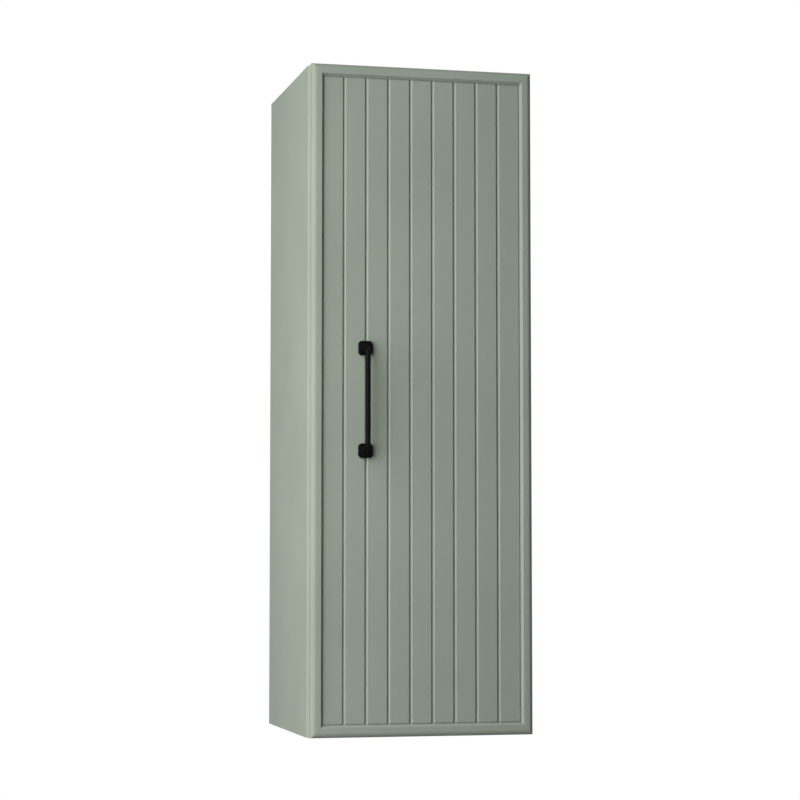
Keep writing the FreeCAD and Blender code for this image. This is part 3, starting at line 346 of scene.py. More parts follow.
def weigh_normals(mesh):
    """Corner normals: within a patch, the sum at each point of the faces' normals times their areas. Edges
    between patches are sharp. The result is the number of edges that are not shared by two faces."""
    owner = read(mesh.attributes["patch"].data, "value", kind=np.int32)
    sizes = read(mesh.polygons, "loop_total", kind=np.int32)
    face_of_corner = np.repeat(np.arange(len(sizes)), sizes)
    push = read(mesh.polygons, "normal", 3) * read(mesh.polygons, "area")[:, None]
    point = read(mesh.loops, "vertex_index", kind=np.int32).astype(np.int64)
    shared, place = np.unique(point * (owner.max() + 1) + owner[face_of_corner], return_inverse=True)
    total = np.zeros((len(shared), 3))
    np.add.at(total, place, push[face_of_corner])
    total /= np.linalg.norm(total, axis=1, keepdims=True)
    edge = read(mesh.loops, "edge_index", kind=np.int32)
    lowest = np.full(len(mesh.edges), owner.max() + 1)
    highest = np.full(len(mesh.edges), -1)
    np.minimum.at(lowest, edge, owner[face_of_corner])
    np.maximum.at(highest, edge, owner[face_of_corner])
    mesh.shade_smooth()
    mesh.edges.foreach_set("use_edge_sharp", lowest != highest)
    mesh.normals_split_custom_set(total[place].tolist())
    return int((np.bincount(edge, minlength=len(mesh.edges)) != 2).sum())


# %% Helpers for pieces
MERGED = 0.0005 * MM            # points that are closer than this are one


def dress(name, mesh, node):
    """An object for the mesh, with the finish and the body of the node that it stands for."""
    piece = bpy.data.objects.new(name, mesh)
    bpy.context.scene.collection.objects.link(piece)
    mesh.materials.clear()
    mesh.materials.append(FINISHES[SLOT_OF[node]])
    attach(piece, BODY_OF[node])
    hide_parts(node)
    return piece


def make_piece(name, patches, node):
    """Patches joined into one mesh, with merged points and outward faces, in place of a node."""
    starts = np.cumsum([0] + [len(points) for points, _ in patches])
    faces, owner = [], []
    for number, (_, sets) in enumerate(patches):
        for corners in sets:
            faces += (corners + starts[number]).tolist()
            owner += [number] * len(corners)
    mesh = bpy.data.meshes.new(name)
    mesh.from_pydata(np.concatenate([points for points, _ in patches]).tolist(), [], faces)
    mesh.attributes.new("patch", "INT", "FACE").data.foreach_set("value", owner)
    work = bmesh.new()
    work.from_mesh(mesh)
    bmesh.ops.remove_doubles(work, verts=work.verts, dist=MERGED)
    bmesh.ops.recalc_face_normals(work, faces=work.faces)
    work.to_mesh(mesh)
    work.free()
    open_edges = weigh_normals(mesh)
    mesh.attributes.remove(mesh.attributes["patch"])
    dress(name, mesh, node)
    print(name, "-", len(mesh.polygons), "faces,", open_edges, "edges that are not shared by two faces")


# %% [markdown]
# ## The door
# The door is one board whose front was routed: a rounded outer edge, a flat frame, a bevel down to the sunk
# panel, and eight V-grooves that make it look like nine boards. The panel's own edge slopes down to the foot
# of the bevel, which draws a fine dark line round it. A Bevel modifier on a box could round the edges, but
# not with several different radii, so the rim is a profile carried round the rectangle with mitred corners,
# as a router bit leaves it. The sunk panel is a grooved line carried up the door, and its grooves run out at
# the bevel.

# %% Sizes of the door
door_low, door_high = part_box("door")
DOOR_FRONT, DOOR_BACK = door_low.y, door_high.y
DOOR_ROUND = 8.2 * MM
BACK_ROUND = 2.4 * MM
FRAME_WIDE = 19.6 * MM          # from the door's edge to the foot of the bevel
BEVEL_WIDE = 3.9 * MM
PANEL_DROP = 4.3 * MM
LIP = 1.6 * MM                  # width and depth of the slope at the panel's edge
PAINT_EDGE = 0.9 * MM           # how softly the paint goes over an edge
SUNK = DOOR_FRONT + PANEL_DROP
FOOT = SUNK + LIP
VEE_COUNT = 8
VEE_PITCH = 35.5 * MM
VEE_SHIFT = -1.6 * MM
VEE_HALF = 2.8 * MM             # half the width, and also the depth
VEE_LIP = 0.5 * MM
VEE_ROOT = 0.35 * MM
vee_middles = VEE_SHIFT + VEE_PITCH * (np.arange(VEE_COUNT) - (VEE_COUNT - 1) / 2)
print("door:", tuple(door_high - door_low), "first groove at", vee_middles[0])

# %% Profiles of the rim and the panel
rim_line = soft_line([(BACK_ROUND, DOOR_BACK), (0, DOOR_BACK), (0, DOOR_FRONT),
                      (FRAME_WIDE - BEVEL_WIDE, DOOR_FRONT), (FRAME_WIDE, FOOT)],
                     [BACK_ROUND, DOOR_ROUND, PAINT_EDGE], steps=12)

foot_left, foot_right = door_low.x + FRAME_WIDE, door_high.x - FRAME_WIDE
foot_low, foot_high = door_low.z + FRAME_WIDE, door_high.z - FRAME_WIDE
panel_left, panel_right = foot_left + LIP, foot_right - LIP
panel_low, panel_high = foot_low + LIP, foot_high - LIP
vee_x = vee_middles[:, None] + VEE_HALF * np.array([-1, 0, 1])
vee_y = SUNK + VEE_HALF * np.tile([0, 1, 0], VEE_COUNT)
panel_line = soft_line([(panel_left, SUNK), *zip(vee_x.ravel(), vee_y), (panel_right, SUNK)],
                       np.tile([VEE_LIP, VEE_ROOT, VEE_LIP], VEE_COUNT), steps=6)

# each flank of a groove gets a point at the depth of the foot, where the slope ends
below_foot = VEE_HALF - LIP
at_foot = (vee_middles[:, None] + below_foot * np.array([-1, 1])).ravel()
panel_line = np.vstack([panel_line, np.column_stack([at_foot, np.full(len(at_foot), FOOT)])])
panel_line = panel_line[np.argsort(panel_line[:, 0])]
foot_line = np.maximum(panel_line, [-np.inf, FOOT])
foot_line[[0, -1], 0] = foot_left, foot_right
rail_stops = (foot_line[foot_line[:, 1] == FOOT, 0] - foot_left) / (foot_right - foot_left)
print("rim profile:", len(rim_line), "points; panel profile:", len(panel_line), "points")

# %% Rim and sunk panel
def rim_side(start, end, inward, stops):
    """One side of the frame. A profile point that lies in from the edge also lies in from both ends, which
    makes the mitres; between its two ends it runs straight, with a row of points at the stops."""
    start, end, inward = np.array(start), np.array(end), np.array(inward)
    along = (end - start) / np.linalg.norm(end - start)
    away = rim_line[:, :1]
    first = start + away * (inward + along)
    last = end + away * (inward - along)
    flat = first[:, None] + stops[None, :, None] * (last - first)[:, None]
    depth = np.broadcast_to(rim_line[:, 1:], flat.shape[:2])
    return np.stack([flat[..., 0], depth, flat[..., 1]], axis=-1)


def level(line, z):
    """A line in x and y, put at a height."""
    return np.column_stack([line, np.full(len(line), z)])


ends = np.array([0.0, 1.0])
rail_low = rim_side((door_low.x, door_low.z), (door_high.x, door_low.z), (0, 1), rail_stops)
rail_high = rim_side((door_low.x, door_high.z), (door_high.x, door_high.z), (0, -1), rail_stops)
stile_left = rim_side((door_low.x, door_low.z), (door_low.x, door_high.z), (1, 0), ends)
stile_right = rim_side((door_high.x, door_low.z), (door_high.x, door_high.z), (-1, 0), ends)
panel = patch(np.stack([level(panel_line, panel_low), level(panel_line, panel_high)]))
end_slopes = [patch(np.stack([level(panel_line, edge), level(foot_line, foot)]))
              for edge, foot in ((panel_low, foot_low), (panel_high, foot_high))]
side_slopes = [lid(np.array([(edge, SUNK, panel_low), (edge, SUNK, panel_high), (foot, FOOT, foot_high),
                             (foot, FOOT, foot_low)]))
               for edge, foot in ((panel_left, foot_left), (panel_right, foot_right))]
vee_lines = [foot_line[abs(foot_line[:, 0] - middle) < below_foot + MERGED] for middle in vee_middles]
vee_ends = [lid(level(line, z)) for line in vee_lines for z in (foot_low, foot_high)]
print("groove ends:", len(vee_ends), "with", len(vee_lines[0]), "points")

# %% [markdown]
# ### The door's back
# When the door is open its back shows, flat, with a round bore for each hinge cup. A flat face with holes is
# no grid, so triangles fill the room between the door's outline and the rims of the bores. A Boolean
# would do it too, but it leaves stray slivers and spoils the normals.

# %% Back and bores
HINGES = ("top", "middle", "bottom")
BORE_RADIUS = 17.45 * MM
BORE_DEEP = 11.85 * MM
BORE_POINTS = 72


def middle_of(node):
    """The middle of a node's box."""
    low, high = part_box(node)
    return (low + high) / 2


def bore_rim(z, y):
    """The rim of a cup's bore at a depth."""
    ring = circle(BORE_RADIUS, BORE_POINTS)
    return np.column_stack([CUP_X + ring[:, 0], np.full(len(ring), y), z + ring[:, 1]])


CUP_X = middle_of("hinge_cup_top").x
CUP_HEIGHTS = [middle_of(f"hinge_cup_{name}").z for name in HINGES]
tops = [bore_rim(z, DOOR_BACK) for z in CUP_HEIGHTS]
bottoms = [bore_rim(z, DOOR_BACK - BORE_DEEP) for z in CUP_HEIGHTS]
back_outline = np.concatenate([rail_low[0, :-1], stile_right[0, :-1],
                               rail_high[0, :0:-1], stile_left[0, :0:-1]])
back = pierced(back_outline, tops)
bores = [patch(np.stack(pair), round_columns=True) for pair in zip(tops, bottoms)]
floors = [lid(rim) for rim in bottoms]
frame_sides = [patch(side) for side in (rail_low, rail_high, stile_left, stile_right)]
door_front = [*frame_sides, panel, *end_slopes, *side_slopes, *vee_ends]
make_piece("door_board", [*door_front, back, *bores, *floors], "door")

# %% [markdown]
# ## The side panels
# The sides are plain boards with one generous round on the outer front edge, which catches the light beside
# the door. The other edges are only eased. An outline with its own radius at each corner is stacked up
# the height, and pulled in a little at the two ends so that those edges are eased as well.

# %% Side panels
SIDE_ROUND = 11 * MM
EASED = 0.7 * MM


def side_panel(node, outward):
    """Outlines stacked along z: each is the board's outline moved in by the amount for its height."""
    low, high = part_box(node)
    outer, inner = (low.x, high.x) if outward < 0 else (high.x, low.x)
    upright = [(2 * EASED, low.z), (0, low.z), (0, high.z), (2 * EASED, high.z)]
    heights = soft_line(upright, [EASED, EASED], steps=5)

    def outline(away):
        far, near = outer - outward * away, inner + outward * away
        front, rear = low.y + away, high.y - away
        corners = [(far, front), (far, rear), (near, rear), (near, front)]
        return soft_loop(corners, [SIDE_ROUND] + [2 * EASED] * 3, steps=12)

    rings = np.stack([level(outline(away), z) for away, z in heights])
    make_piece(node + "_board", [patch(rings, round_columns=True), lid(rings[0]), lid(rings[-1])], node)


side_panel("side_panel_left", -1)
side_panel("side_panel_right", 1)

# %% [markdown]
# ## The handle
# The handle is a round bar that is bent towards the door at both ends and stands in two square rosettes. The
# bar is a circle carried along a line with two bends. A bevelled curve would give the same tube, but then
# its points would not be ours to close and merge.

# %% Handle bar
BAR_RADIUS = 4 * MM
BAR_BEND = 13 * MM
bar_low, bar_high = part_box("handle_bar")
BAR_X = (bar_low.x + bar_high.x) / 2
bar_y = bar_low.y + BAR_RADIUS
upper_end, lower_end = bar_high.z - BAR_RADIUS, bar_low.z + BAR_RADIUS


def tube(line, radius, count=40):
    """A circle carried along a line in the y-z plane. One of its axes is x, and the other is square to the
    line's direction, which at each point is the middle of the directions before and after it."""
    run = np.diff(line, axis=0)
    run /= np.linalg.norm(run, axis=1, keepdims=True)
    way = np.vstack([run[:1], run[:-1] + run[1:], run[-1:]])
    way /= np.linalg.norm(way, axis=1, keepdims=True)
    ring = circle(radius, count)
    x = BAR_X + np.broadcast_to(ring[:, 0], (len(line), count))
    y = line[:, :1] - way[:, 1:] * ring[:, 1]
    z = line[:, 1:] + way[:, :1] * ring[:, 1]
    return np.stack([x, y, z], axis=-1)


bar_line = soft_line([(SUNK, upper_end), (bar_y, upper_end), (bar_y, lower_end), (SUNK, lower_end)],
                     [BAR_BEND, BAR_BEND], steps=24)
bar = tube(bar_line, BAR_RADIUS)
make_piece("handle_rod", [patch(bar, round_columns=True), lid(bar[0]), lid(bar[-1])], "handle_bar")

# %% [markdown]
# ### Rosettes
# A rosette is a small cast square with round corners and a softened front edge, and a round collar that
# takes the bar. Square and circle are two loops with the same number of points, so rings can pass from one to
# the other, and the whole rosette is one grid that closes on itself through the hole.

# %% Rosettes
ROSETTE_CORNER = 5.5 * MM
ROSETTE_EDGE = 1.8 * MM
ROSETTE_THICK = 5 * MM
COLLAR_RADIUS = 6 * MM
COLLAR_FLARE = 1 * MM
COLLAR_EDGE = 0.8 * MM
HOLE_EDGE = 0.3 * MM
CORNER_STEPS = 11
quarter = np.linspace(0, np.pi / 2, CORNER_STEPS + 1)
angles = np.concatenate([quarter + turn * np.pi / 2 for turn in range(4)])


def rosette(node):
    """Rings round the bar's axis, from the base over the edge, the face and the collar into the hole."""
    low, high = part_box(node)
    middle = middle_of(node)
    half = (high.x - low.x) / 2
    face = high.y - ROSETTE_THICK

    def square(away):
        side = half - away
        corners = [(side, side), (-side, side), (-side, -side), (side, -side)]
        return soft_loop(corners, [ROSETTE_CORNER - away] * 4, steps=CORNER_STEPS)

    def ring(radius):
        return radius * np.column_stack([np.cos(angles), np.sin(angles)])

    edge = soft_line([(0, high.y), (0, face), (2 * ROSETTE_EDGE, face)], [ROSETTE_EDGE])[:-1]
    collar = soft_line([(COLLAR_RADIUS + 2 * COLLAR_FLARE, face), (COLLAR_RADIUS, face),
                        (COLLAR_RADIUS, low.y), (BAR_RADIUS, low.y), (BAR_RADIUS, high.y)],
                       [COLLAR_FLARE, COLLAR_EDGE, HOLE_EDGE], steps=6)[1:]
    loops = [(square(away), y) for away, y in edge] + [(ring(radius), y) for radius, y in collar]
    rings = np.stack([np.column_stack([middle.x + loop[:, 0], np.full(len(loop), y), middle.z + loop[:, 1]])
                      for loop, y in loops])
    make_piece(node + "_cast", [patch(rings, round_rows=True, round_columns=True)], node)


rosette("handle_rosette_upper")
rosette("handle_rosette_lower")

# %% [markdown]
# ## Pressed plates
# Hinges and the strike of the catch are stamped from sheet steel. A press leaves a flat plate with a rounded
# outline, and it draws the upper edge over a little. So a plate is its outline carried up the thickness of
# the sheet, drawn in along a quarter circle at the top, and closed by flat faces that have the same holes.

# %% Helpers for pressed plates
X_AXIS, Y_AXIS, Z_AXIS = range(3)


def moved_in(loop, distance):
    """A closed outline moved inwards. Each point goes along the sum of the normals of its two runs; twice
    that sum over its own square is as long as a mitre needs to be."""
    ahead = np.roll(loop, -1, axis=0)
    run = ahead - loop
    run /= np.linalg.norm(run, axis=1, keepdims=True)
    normal = np.column_stack([-run[:, 1], run[:, 0]])
    push = normal + np.roll(normal, 1, axis=0)
    push *= 2 / (push ** 2).sum(axis=1, keepdims=True)
    turning = np.sign((loop[:, 0] * ahead[:, 1] - ahead[:, 0] * loop[:, 1]).sum())
    return loop + turning * distance * push


def at_height(loop, height, axis):
    """A flat loop put at a height along an axis; its own two directions are the other axes, in order."""
    return np.insert(loop, axis, height, axis=1)


def pressed(outline, low, high, axis, edge, holes=(), both=False):
    """Rings of the outline that go up from low to high and are drawn in by a quarter circle at the top, or
    at both ends. A hole is a loop and the height of its floor; a floor at `low` makes it go right through."""
    upright = [(2 * edge, low), (0, low), (0, high), (2 * edge, high)]
    line = soft_line(upright, [edge if both else 0, edge], steps=4)[1:-1]
    rings = np.stack([at_height(moved_in(outline, away), height, axis) for away, height in line])
    tops = [at_height(loop, high, axis) for loop, _ in holes]
    floors = [at_height(loop, floor, axis) for loop, floor in holes]
    through = [floor == low for _, floor in holes]
    foot = pierced(rings[0], [rim for rim, open_end in zip(floors, through) if open_end])
    skin = [patch(rings, round_columns=True), pierced(rings[-1], tops)]
    walls = [patch(np.stack(pair), round_columns=True) for pair in zip(tops, floors)]
    lids = [lid(rim) for rim, open_end in zip(floors, through) if not open_end]
    if both:
        return [together(*skin, foot), *walls, *lids]
    return [together(*skin), foot, *walls, *lids]


def block(low, high, radius):
    """The outline of a rectangle between two corners, with every corner rounded."""
    corners = [(low[0], low[1]), (high[0], low[1]), (high[0], high[1]), (low[0], high[1])]
    return soft_loop(corners, [radius] * 4, steps=6)


# %% [markdown]
# ### Hinge cups
# A cup is let into the door and held by two ears. Ears and rim are one flange, whose outline runs round the
# ears and then along a circle. The arm dips into the cup through a slot, so the flange has the slot right
# through it, and the drum below has it as a blind well.

# %% Outline of a cup's flange
FLANGE_RADIUS = 16.5 * MM
FLANGE_THICK = 1 * MM
FLANGE_EDGE = 0.5 * MM
FLANGE_POINTS = 50
EAR_LEFT, EAR_RIGHT = -16.5 * MM, -2.5 * MM
EAR_HALF = 29 * MM
EAR_ROUND = 5 * MM

meeting = math.sqrt(FLANGE_RADIUS ** 2 - EAR_RIGHT ** 2)
ears = soft_line([(EAR_RIGHT, meeting), (EAR_RIGHT, EAR_HALF), (EAR_LEFT, EAR_HALF), (EAR_LEFT, -EAR_HALF),
                  (EAR_RIGHT, -EAR_HALF), (EAR_RIGHT, -meeting)], [EAR_ROUND] * 4)
half_sweep = math.atan2(meeting, EAR_RIGHT)
sweep = np.linspace(-half_sweep, half_sweep, FLANGE_POINTS)[1:-1]
flange = np.concatenate([ears, FLANGE_RADIUS * np.column_stack([np.cos(sweep), np.sin(sweep)])])
print("flange outline:", len(flange), "points")

# %% Hinge cups
SLOT_HALF_LONG, SLOT_HALF_WIDE = 16 * MM, 4.9 * MM
SLOT_ROUND = 1.2 * MM
SLOT_DEEP = 10.8 * MM
DRUM_RADIUS = 17.4 * MM
DRUM_DEEP = 11.7 * MM
DRUM_EDGE = 0.3 * MM
DRUM_GAP = 0.02 * MM            # keeps the drum's top off the flange
WELL_WIDER = 0.05 * MM          # keeps the drum's well off the flange's slot
slot_line = block((-SLOT_HALF_LONG, -SLOT_HALF_WIDE), (SLOT_HALF_LONG, SLOT_HALF_WIDE), SLOT_ROUND)
well_line = moved_in(slot_line, -WELL_WIDER)
drum_line = circle(DRUM_RADIUS, BORE_POINTS)


def hinge_cup(name, z):
    """The flange, with the slot through it, and under it the drum, with the slot as a well."""
    at = np.array([CUP_X, z])
    plate = pressed(flange + at, DOOR_BACK, DOOR_BACK + FLANGE_THICK, Y_AXIS, FLANGE_EDGE,
                    [(slot_line + at, DOOR_BACK)])
    drum = pressed(drum_line + at, DOOR_BACK - DRUM_DEEP, DOOR_BACK - DRUM_GAP, Y_AXIS, DRUM_EDGE,
                   [(well_line + at, DOOR_BACK - SLOT_DEEP)])
    make_piece(f"hinge_cup_{name}_pressed", plate + drum, f"hinge_cup_{name}")


for name, z in zip(HINGES, CUP_HEIGHTS):
    hinge_cup(name, z)

# %% [markdown]
# ### Hinge arms and mounting plates
# The arm is a bar that is screwed to its mounting plate, and a goose neck that reaches round the edge of the
# side panel to the pin. The neck is flat, so its outline lies level and is carried up the pin's axis; bar and
# plate lie against the side, so theirs are carried inwards from it.

# %% Shape of a hinge arm
PIVOT = np.array(frame["record"]["behaviour"]["joints"][0]["pos_m"])
PIN_RADIUS = 1.55 * MM
EYE_RADIUS = 3 * MM
EYE_EDGE = 0.5 * MM
EYE_POINTS = 32
EYE_PROUD = 0.01 * MM           # keeps the eye's faces off the neck's
NECK_HALF = 4.5 * MM
NECK_EDGE = 0.6 * MM
NECK_NEAR, NECK_FAR = PIVOT[1] + 2 * MM, PIVOT[1] - 2.6 * MM
NECK_THROAT, NECK_ELBOW = 2 * MM, 5.5 * MM
NECK_CORNER = 0.3 * MM
NECK_THINNER = 0.1 * MM         # keeps the neck's flanks inside the arm's faces
NECK_INTO_ARM = 1.5 * MM
ARM_HALF = 7 * MM
ARM_CORNER = 3 * MM
ARM_EDGE = 1 * MM
ARM_AHEAD = 4 * MM              # how far the arm reaches past its mounting plate


def hinge_arm(name, z):
    """The neck and the eye round the pin, both carried up the pin's axis, and the long arm behind them."""
    arm_low, arm_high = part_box(f"hinge_arm_{name}")
    plate_low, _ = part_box(f"hinge_plate_{name}")
    front = plate_low.y - ARM_AHEAD
    outer, inner = plate_low.x - NECK_THINNER, arm_low.x + NECK_THINNER
    bend = [(PIVOT[0], NECK_NEAR), (outer, NECK_NEAR), (outer, front + NECK_INTO_ARM),
            (inner, front + NECK_INTO_ARM), (inner, NECK_FAR), (PIVOT[0], NECK_FAR)]
    radii = [NECK_CORNER, NECK_THROAT, NECK_CORNER, NECK_CORNER, NECK_ELBOW, NECK_CORNER]
    neck = pressed(soft_loop(bend, radii), z - NECK_HALF, z + NECK_HALF, Z_AXIS, NECK_EDGE, both=True)
    bottom, top = z - NECK_HALF - EYE_PROUD, z + NECK_HALF + EYE_PROUD
    hole = circle(PIN_RADIUS, EYE_POINTS) + PIVOT[:2]
    around = circle(EYE_RADIUS, EYE_POINTS) + PIVOT[:2]
    eye = pressed(around, bottom, top, Z_AXIS, EYE_EDGE, [(hole, bottom)], both=True)
    strip = block((front, z - ARM_HALF), (arm_high.y, z + ARM_HALF), ARM_CORNER)
    arm = pressed(strip, plate_low.x, arm_low.x, X_AXIS, ARM_EDGE)
    make_piece(f"hinge_arm_{name}_pressed", neck + eye + arm, f"hinge_arm_{name}")


# %% Shape of a mounting plate
WING_LONG = 16 * MM
WING_BACK = 1 * MM              # how far the wings stand behind the plate's middle
WING_CORNER = 6 * MM
PLATE_CORNER = 2 * MM
PLATE_THROAT = 3 * MM
PLATE_EDGE = 0.7 * MM


def mounting_plate(name, z):
    """A cross: its lower half is drawn, and the upper half is the same turned over."""
    low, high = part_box(f"hinge_plate_{name}")
    half = (high.z - low.z) / 2
    wing_front = (low.y + high.y - WING_LONG) / 2 + WING_BACK
    wing_rear = wing_front + WING_LONG
    lower = np.array([(low.y, -ARM_HALF), (wing_front, -ARM_HALF), (wing_front, -half),
                      (wing_rear, -half), (wing_rear, -ARM_HALF), (high.y, -ARM_HALF)])
    upper = lower[::-1] * (1, -1)
    radii = [PLATE_CORNER, PLATE_THROAT, WING_CORNER, WING_CORNER, PLATE_THROAT, PLATE_CORNER] * 2
    cross = soft_loop(np.vstack([lower, upper]) + (0, z), radii)
    plate = pressed(cross, high.x, low.x, X_AXIS, PLATE_EDGE)
    make_piece(f"hinge_plate_{name}_pressed", plate, f"hinge_plate_{name}")


# %% Arms and plates of the three hinges
for name, z in zip(HINGES, CUP_HEIGHTS):
    hinge_arm(name, z)
    mounting_plate(name, z)

# %% [markdown]
# ### Screws and door buttons
# Every screw has a low domed head with a cross recess. One solid node holds several screws, so its mesh is
# first parted into its separate solids: each point takes the lowest label among its neighbours until nothing
# changes. Each solid's own box then says where its screw sits and how large it is. The head is a grid of
# rings whose height is a formula, which gives the recess without cutting. The soft buttons that the door
# meets when it shuts are parted the same way.

# %% Helper that parts a node
SAME_POINT = 0.01 * MM


def solids_of(node):
    """The points of each separate solid of a node."""
    mesh = frame["nodes"][node].data
    points = read(mesh.vertices, "co", 3)
    _, merged = np.unique(np.round(points / SAME_POINT).astype(np.int64), axis=0, return_inverse=True)
    merged = merged.reshape(-1)
    corners = merged[read(mesh.loops, "vertex_index", kind=np.int32)].reshape(-1, 3)
    label = np.arange(merged.max() + 1)
    settled = False
    while not settled:
        before = label.copy()
        np.minimum.at(label, corners.ravel(), np.repeat(label[corners].min(axis=1), 3))
        settled = (label == before).all()
    return [points[label[merged] == number] for number in np.unique(label)]


# %% Screws
SCREW_NODES = ("hinge_cup_screws", "hinge_arm_screws", "hinge_plate_screws", "handle_screws", "catch_screws",
               "strike_screws", "hanger_screws")
SCREW_TURN = 0.7                # angle from one screw's cross to the next
HEAD_TO_SHANK = 1.8
HEAD_HEIGHT = 0.7               # of the shank's radius
HEAD_RINGS, HEAD_POINTS = 17, 48
NEAR_RIM = 0.9                  # of the head's radius; only the head has points out there
DOME, DOME_CURVE = 0.5, 0.96    # domed share of the head's height, and how far it curves
CROSS_HALF, CROSS_LONG, CROSS_SLOPE = 0.17, 0.61, 0.06    # of the head's radius
CROSS_DEEP = 0.65               # of the head's height
TIP = 0.2                       # of the shank's radius
angle = np.linspace(0, 2 * np.pi, HEAD_POINTS, endpoint=False)
share = np.linspace(0, 1, HEAD_RINGS)[:, None]


def cross_arm(along, beside):
    """1 inside one arm of the cross, falling to 0 over the slope at its edges."""
    across = np.clip((CROSS_HALF - abs(beside)) / CROSS_SLOPE, 0, 1)
    return across * np.clip((CROSS_LONG - abs(along)) / CROSS_SLOPE, 0, 1)


def head_shape(turn):
    """Height over the head, as a share: a dome that falls from 1 to 0.6 at its rim, less the cross."""
    first, second = share * np.cos(angle - turn), share * np.sin(angle - turn)
    recess = np.maximum(cross_arm(first, second), cross_arm(second, first))
    return (1 - DOME) + DOME * np.sqrt(1 - DOME_CURVE * share ** 2) - CROSS_DEEP * recess


def screw(points, turn):
    """Rings about the screw's axis, from the middle of the head over its rim and down to the tip."""
    low, high = points.min(axis=0), points.max(axis=0)
    size, middle = high - low, (low + high) / 2
    axis = int(np.argmax(np.abs(size - np.median(size))))
    across = np.delete(points - middle, axis, axis=1)
    out = np.hypot(across[:, 0], across[:, 1])
    radius = out.max()
    facing = 1 if points[out > NEAR_RIM * radius, axis].mean() > middle[axis] else -1
    shank = radius / HEAD_TO_SHANK
    head = HEAD_HEIGHT * shank
    tail = size[axis] - head
    below = np.array([(radius, 0), (shank, 0), (shank, shank - tail), (TIP * shank, -tail)])
    dome = head * head_shape(turn)
    around = np.concatenate([np.broadcast_to(radius * share, dome.shape),
                             np.repeat(below[:, :1], HEAD_POINTS, axis=1)])
    height = np.concatenate([dome, np.repeat(below[:, 1:], HEAD_POINTS, axis=1)])
    seat = (high[axis] if facing > 0 else low[axis]) - facing * head
    beside = np.delete(middle, axis)
    flat = np.stack([beside[0] + around * np.cos(angle), beside[1] + around * np.sin(angle)], axis=-1)
    rings = np.insert(flat, axis, seat + facing * height, axis=2)
    return together(patch(rings, round_columns=True), lid(rings[-1]))


for node in SCREW_NODES:
    screws = [screw(points, SCREW_TURN * number) for number, points in enumerate(solids_of(node))]
    make_piece(node + "_driven", screws, node)

# %% Door buttons
BUTTON_ROUND = 1.3 * MM


def soft_button(points):
    """A low round pad: a circle carried up from the door and drawn in by a quarter circle at the top."""
    low, high = points.min(axis=0), points.max(axis=0)
    ring = circle((high[0] - low[0]) / 2) + np.delete((low + high) / 2, Y_AXIS)
    return pressed(ring, low[1], high[1], Y_AXIS, BUTTON_ROUND)


buttons = [part for points in solids_of("door_bumpers") for part in soft_button(points)]
make_piece("door_bumpers_soft", buttons, "door_bumpers")

# %% [markdown]
# ### Strike and catch
# The strike is a small steel plate on the door. The catch on the side panel is a moulded housing with a well
# in front, where the magnet sits between its two steel poles. Both are outlines carried through a thickness,
# so the helper for pressed plates serves again.

# %% Strike and catch
STRIKE_CORNER, STRIKE_EDGE = 2 * MM, 0.4 * MM
HOUSING_CORNER, HOUSING_EDGE = 2 * MM, 1.2 * MM
WELL_CORNER = 0.3 * MM
WELL_ROOM = 0.05 * MM

strike_low, strike_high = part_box("catch_strike")
strike = block((strike_low.x, strike_low.z), (strike_high.x, strike_high.z), STRIKE_CORNER)
strike_plate = pressed(strike, strike_low.y, strike_high.y, Y_AXIS, STRIKE_EDGE)
make_piece("catch_strike_pressed", strike_plate, "catch_strike")

catch_low, catch_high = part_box("catch_body")
inside = np.array([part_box("catch_magnet"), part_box("catch_poles")])
well_low, well_high = inside[:, 0].min(axis=0), inside[:, 1].max(axis=0)
well = block(np.delete(well_low, Y_AXIS) - WELL_ROOM, np.delete(well_high, Y_AXIS) + WELL_ROOM, WELL_CORNER)
housing = block((catch_low.x, catch_low.z), (catch_high.x, catch_high.z), HOUSING_CORNER)
body = pressed(housing, catch_high.y, catch_low.y, Y_AXIS, HOUSING_EDGE, [(well, well_high[1])], both=True)
make_piece("catch_body_moulded", body, "catch_body")

# %% [markdown]
# ## Eased edges
# Most of the remaining boards and fittings have the right shape, but their edges are as sharp as only a
# drawing can be. A Bevel modifier is the plain way to ease them. The solid's mesh is loose triangles, so a
# copy is merged and its flat neighbours are joined into whole faces first: then only true edges are left.

# %% Eased copies
FLAT = math.radians(1)
SHARP = math.radians(40)
LOOSE = 0.001 * MM              # a solid's loose corners lie closer together than this


def eased(node, width):
    """A copy of a solid with rounded edges of a given width."""
    work = bmesh.new()
    work.from_mesh(frame["nodes"][node].data)
    bmesh.ops.remove_doubles(work, verts=work.verts, dist=LOOSE)
    bmesh.ops.dissolve_limit(work, angle_limit=FLAT, verts=work.verts, edges=work.edges)
    mesh = bpy.data.meshes.new(node + "_eased")
    work.to_mesh(mesh)
    work.free()
    if "custom_normal" in mesh.attributes:
        mesh.attributes.remove(mesh.attributes["custom_normal"])
    mesh.shade_smooth()
    piece = dress(node + "_eased", mesh, node)
    bevel = piece.modifiers.new("eased edges", "BEVEL")
    bevel.width = width
    bevel.segments = 2
    bevel.limit_method = "ANGLE"
    bevel.angle_limit = SHARP
    bevel.harden_normals = True
    print(piece.name, "-", len(mesh.polygons), "faces before the bevel")


EASED_WIDTHS = {
    0.7 * MM: ("top_panel", "bottom_panel", "shelf_upper", "shelf_lower"),
    0.8 * MM: ("hanger_cover_left", "hanger_cover_right", "hanger_body_left", "hanger_body_right"),
    0.4 * MM: ("hanger_hook_left", "hanger_hook_right", "wall_plate_left", "wall_plate_right", "cam_locks"),
    0.2 * MM: ("catch_poles", "catch_magnet", "shelf_pins"),
}
for width, nodes in EASED_WIDTHS.items():
    for node in nodes:
        eased(node, width)

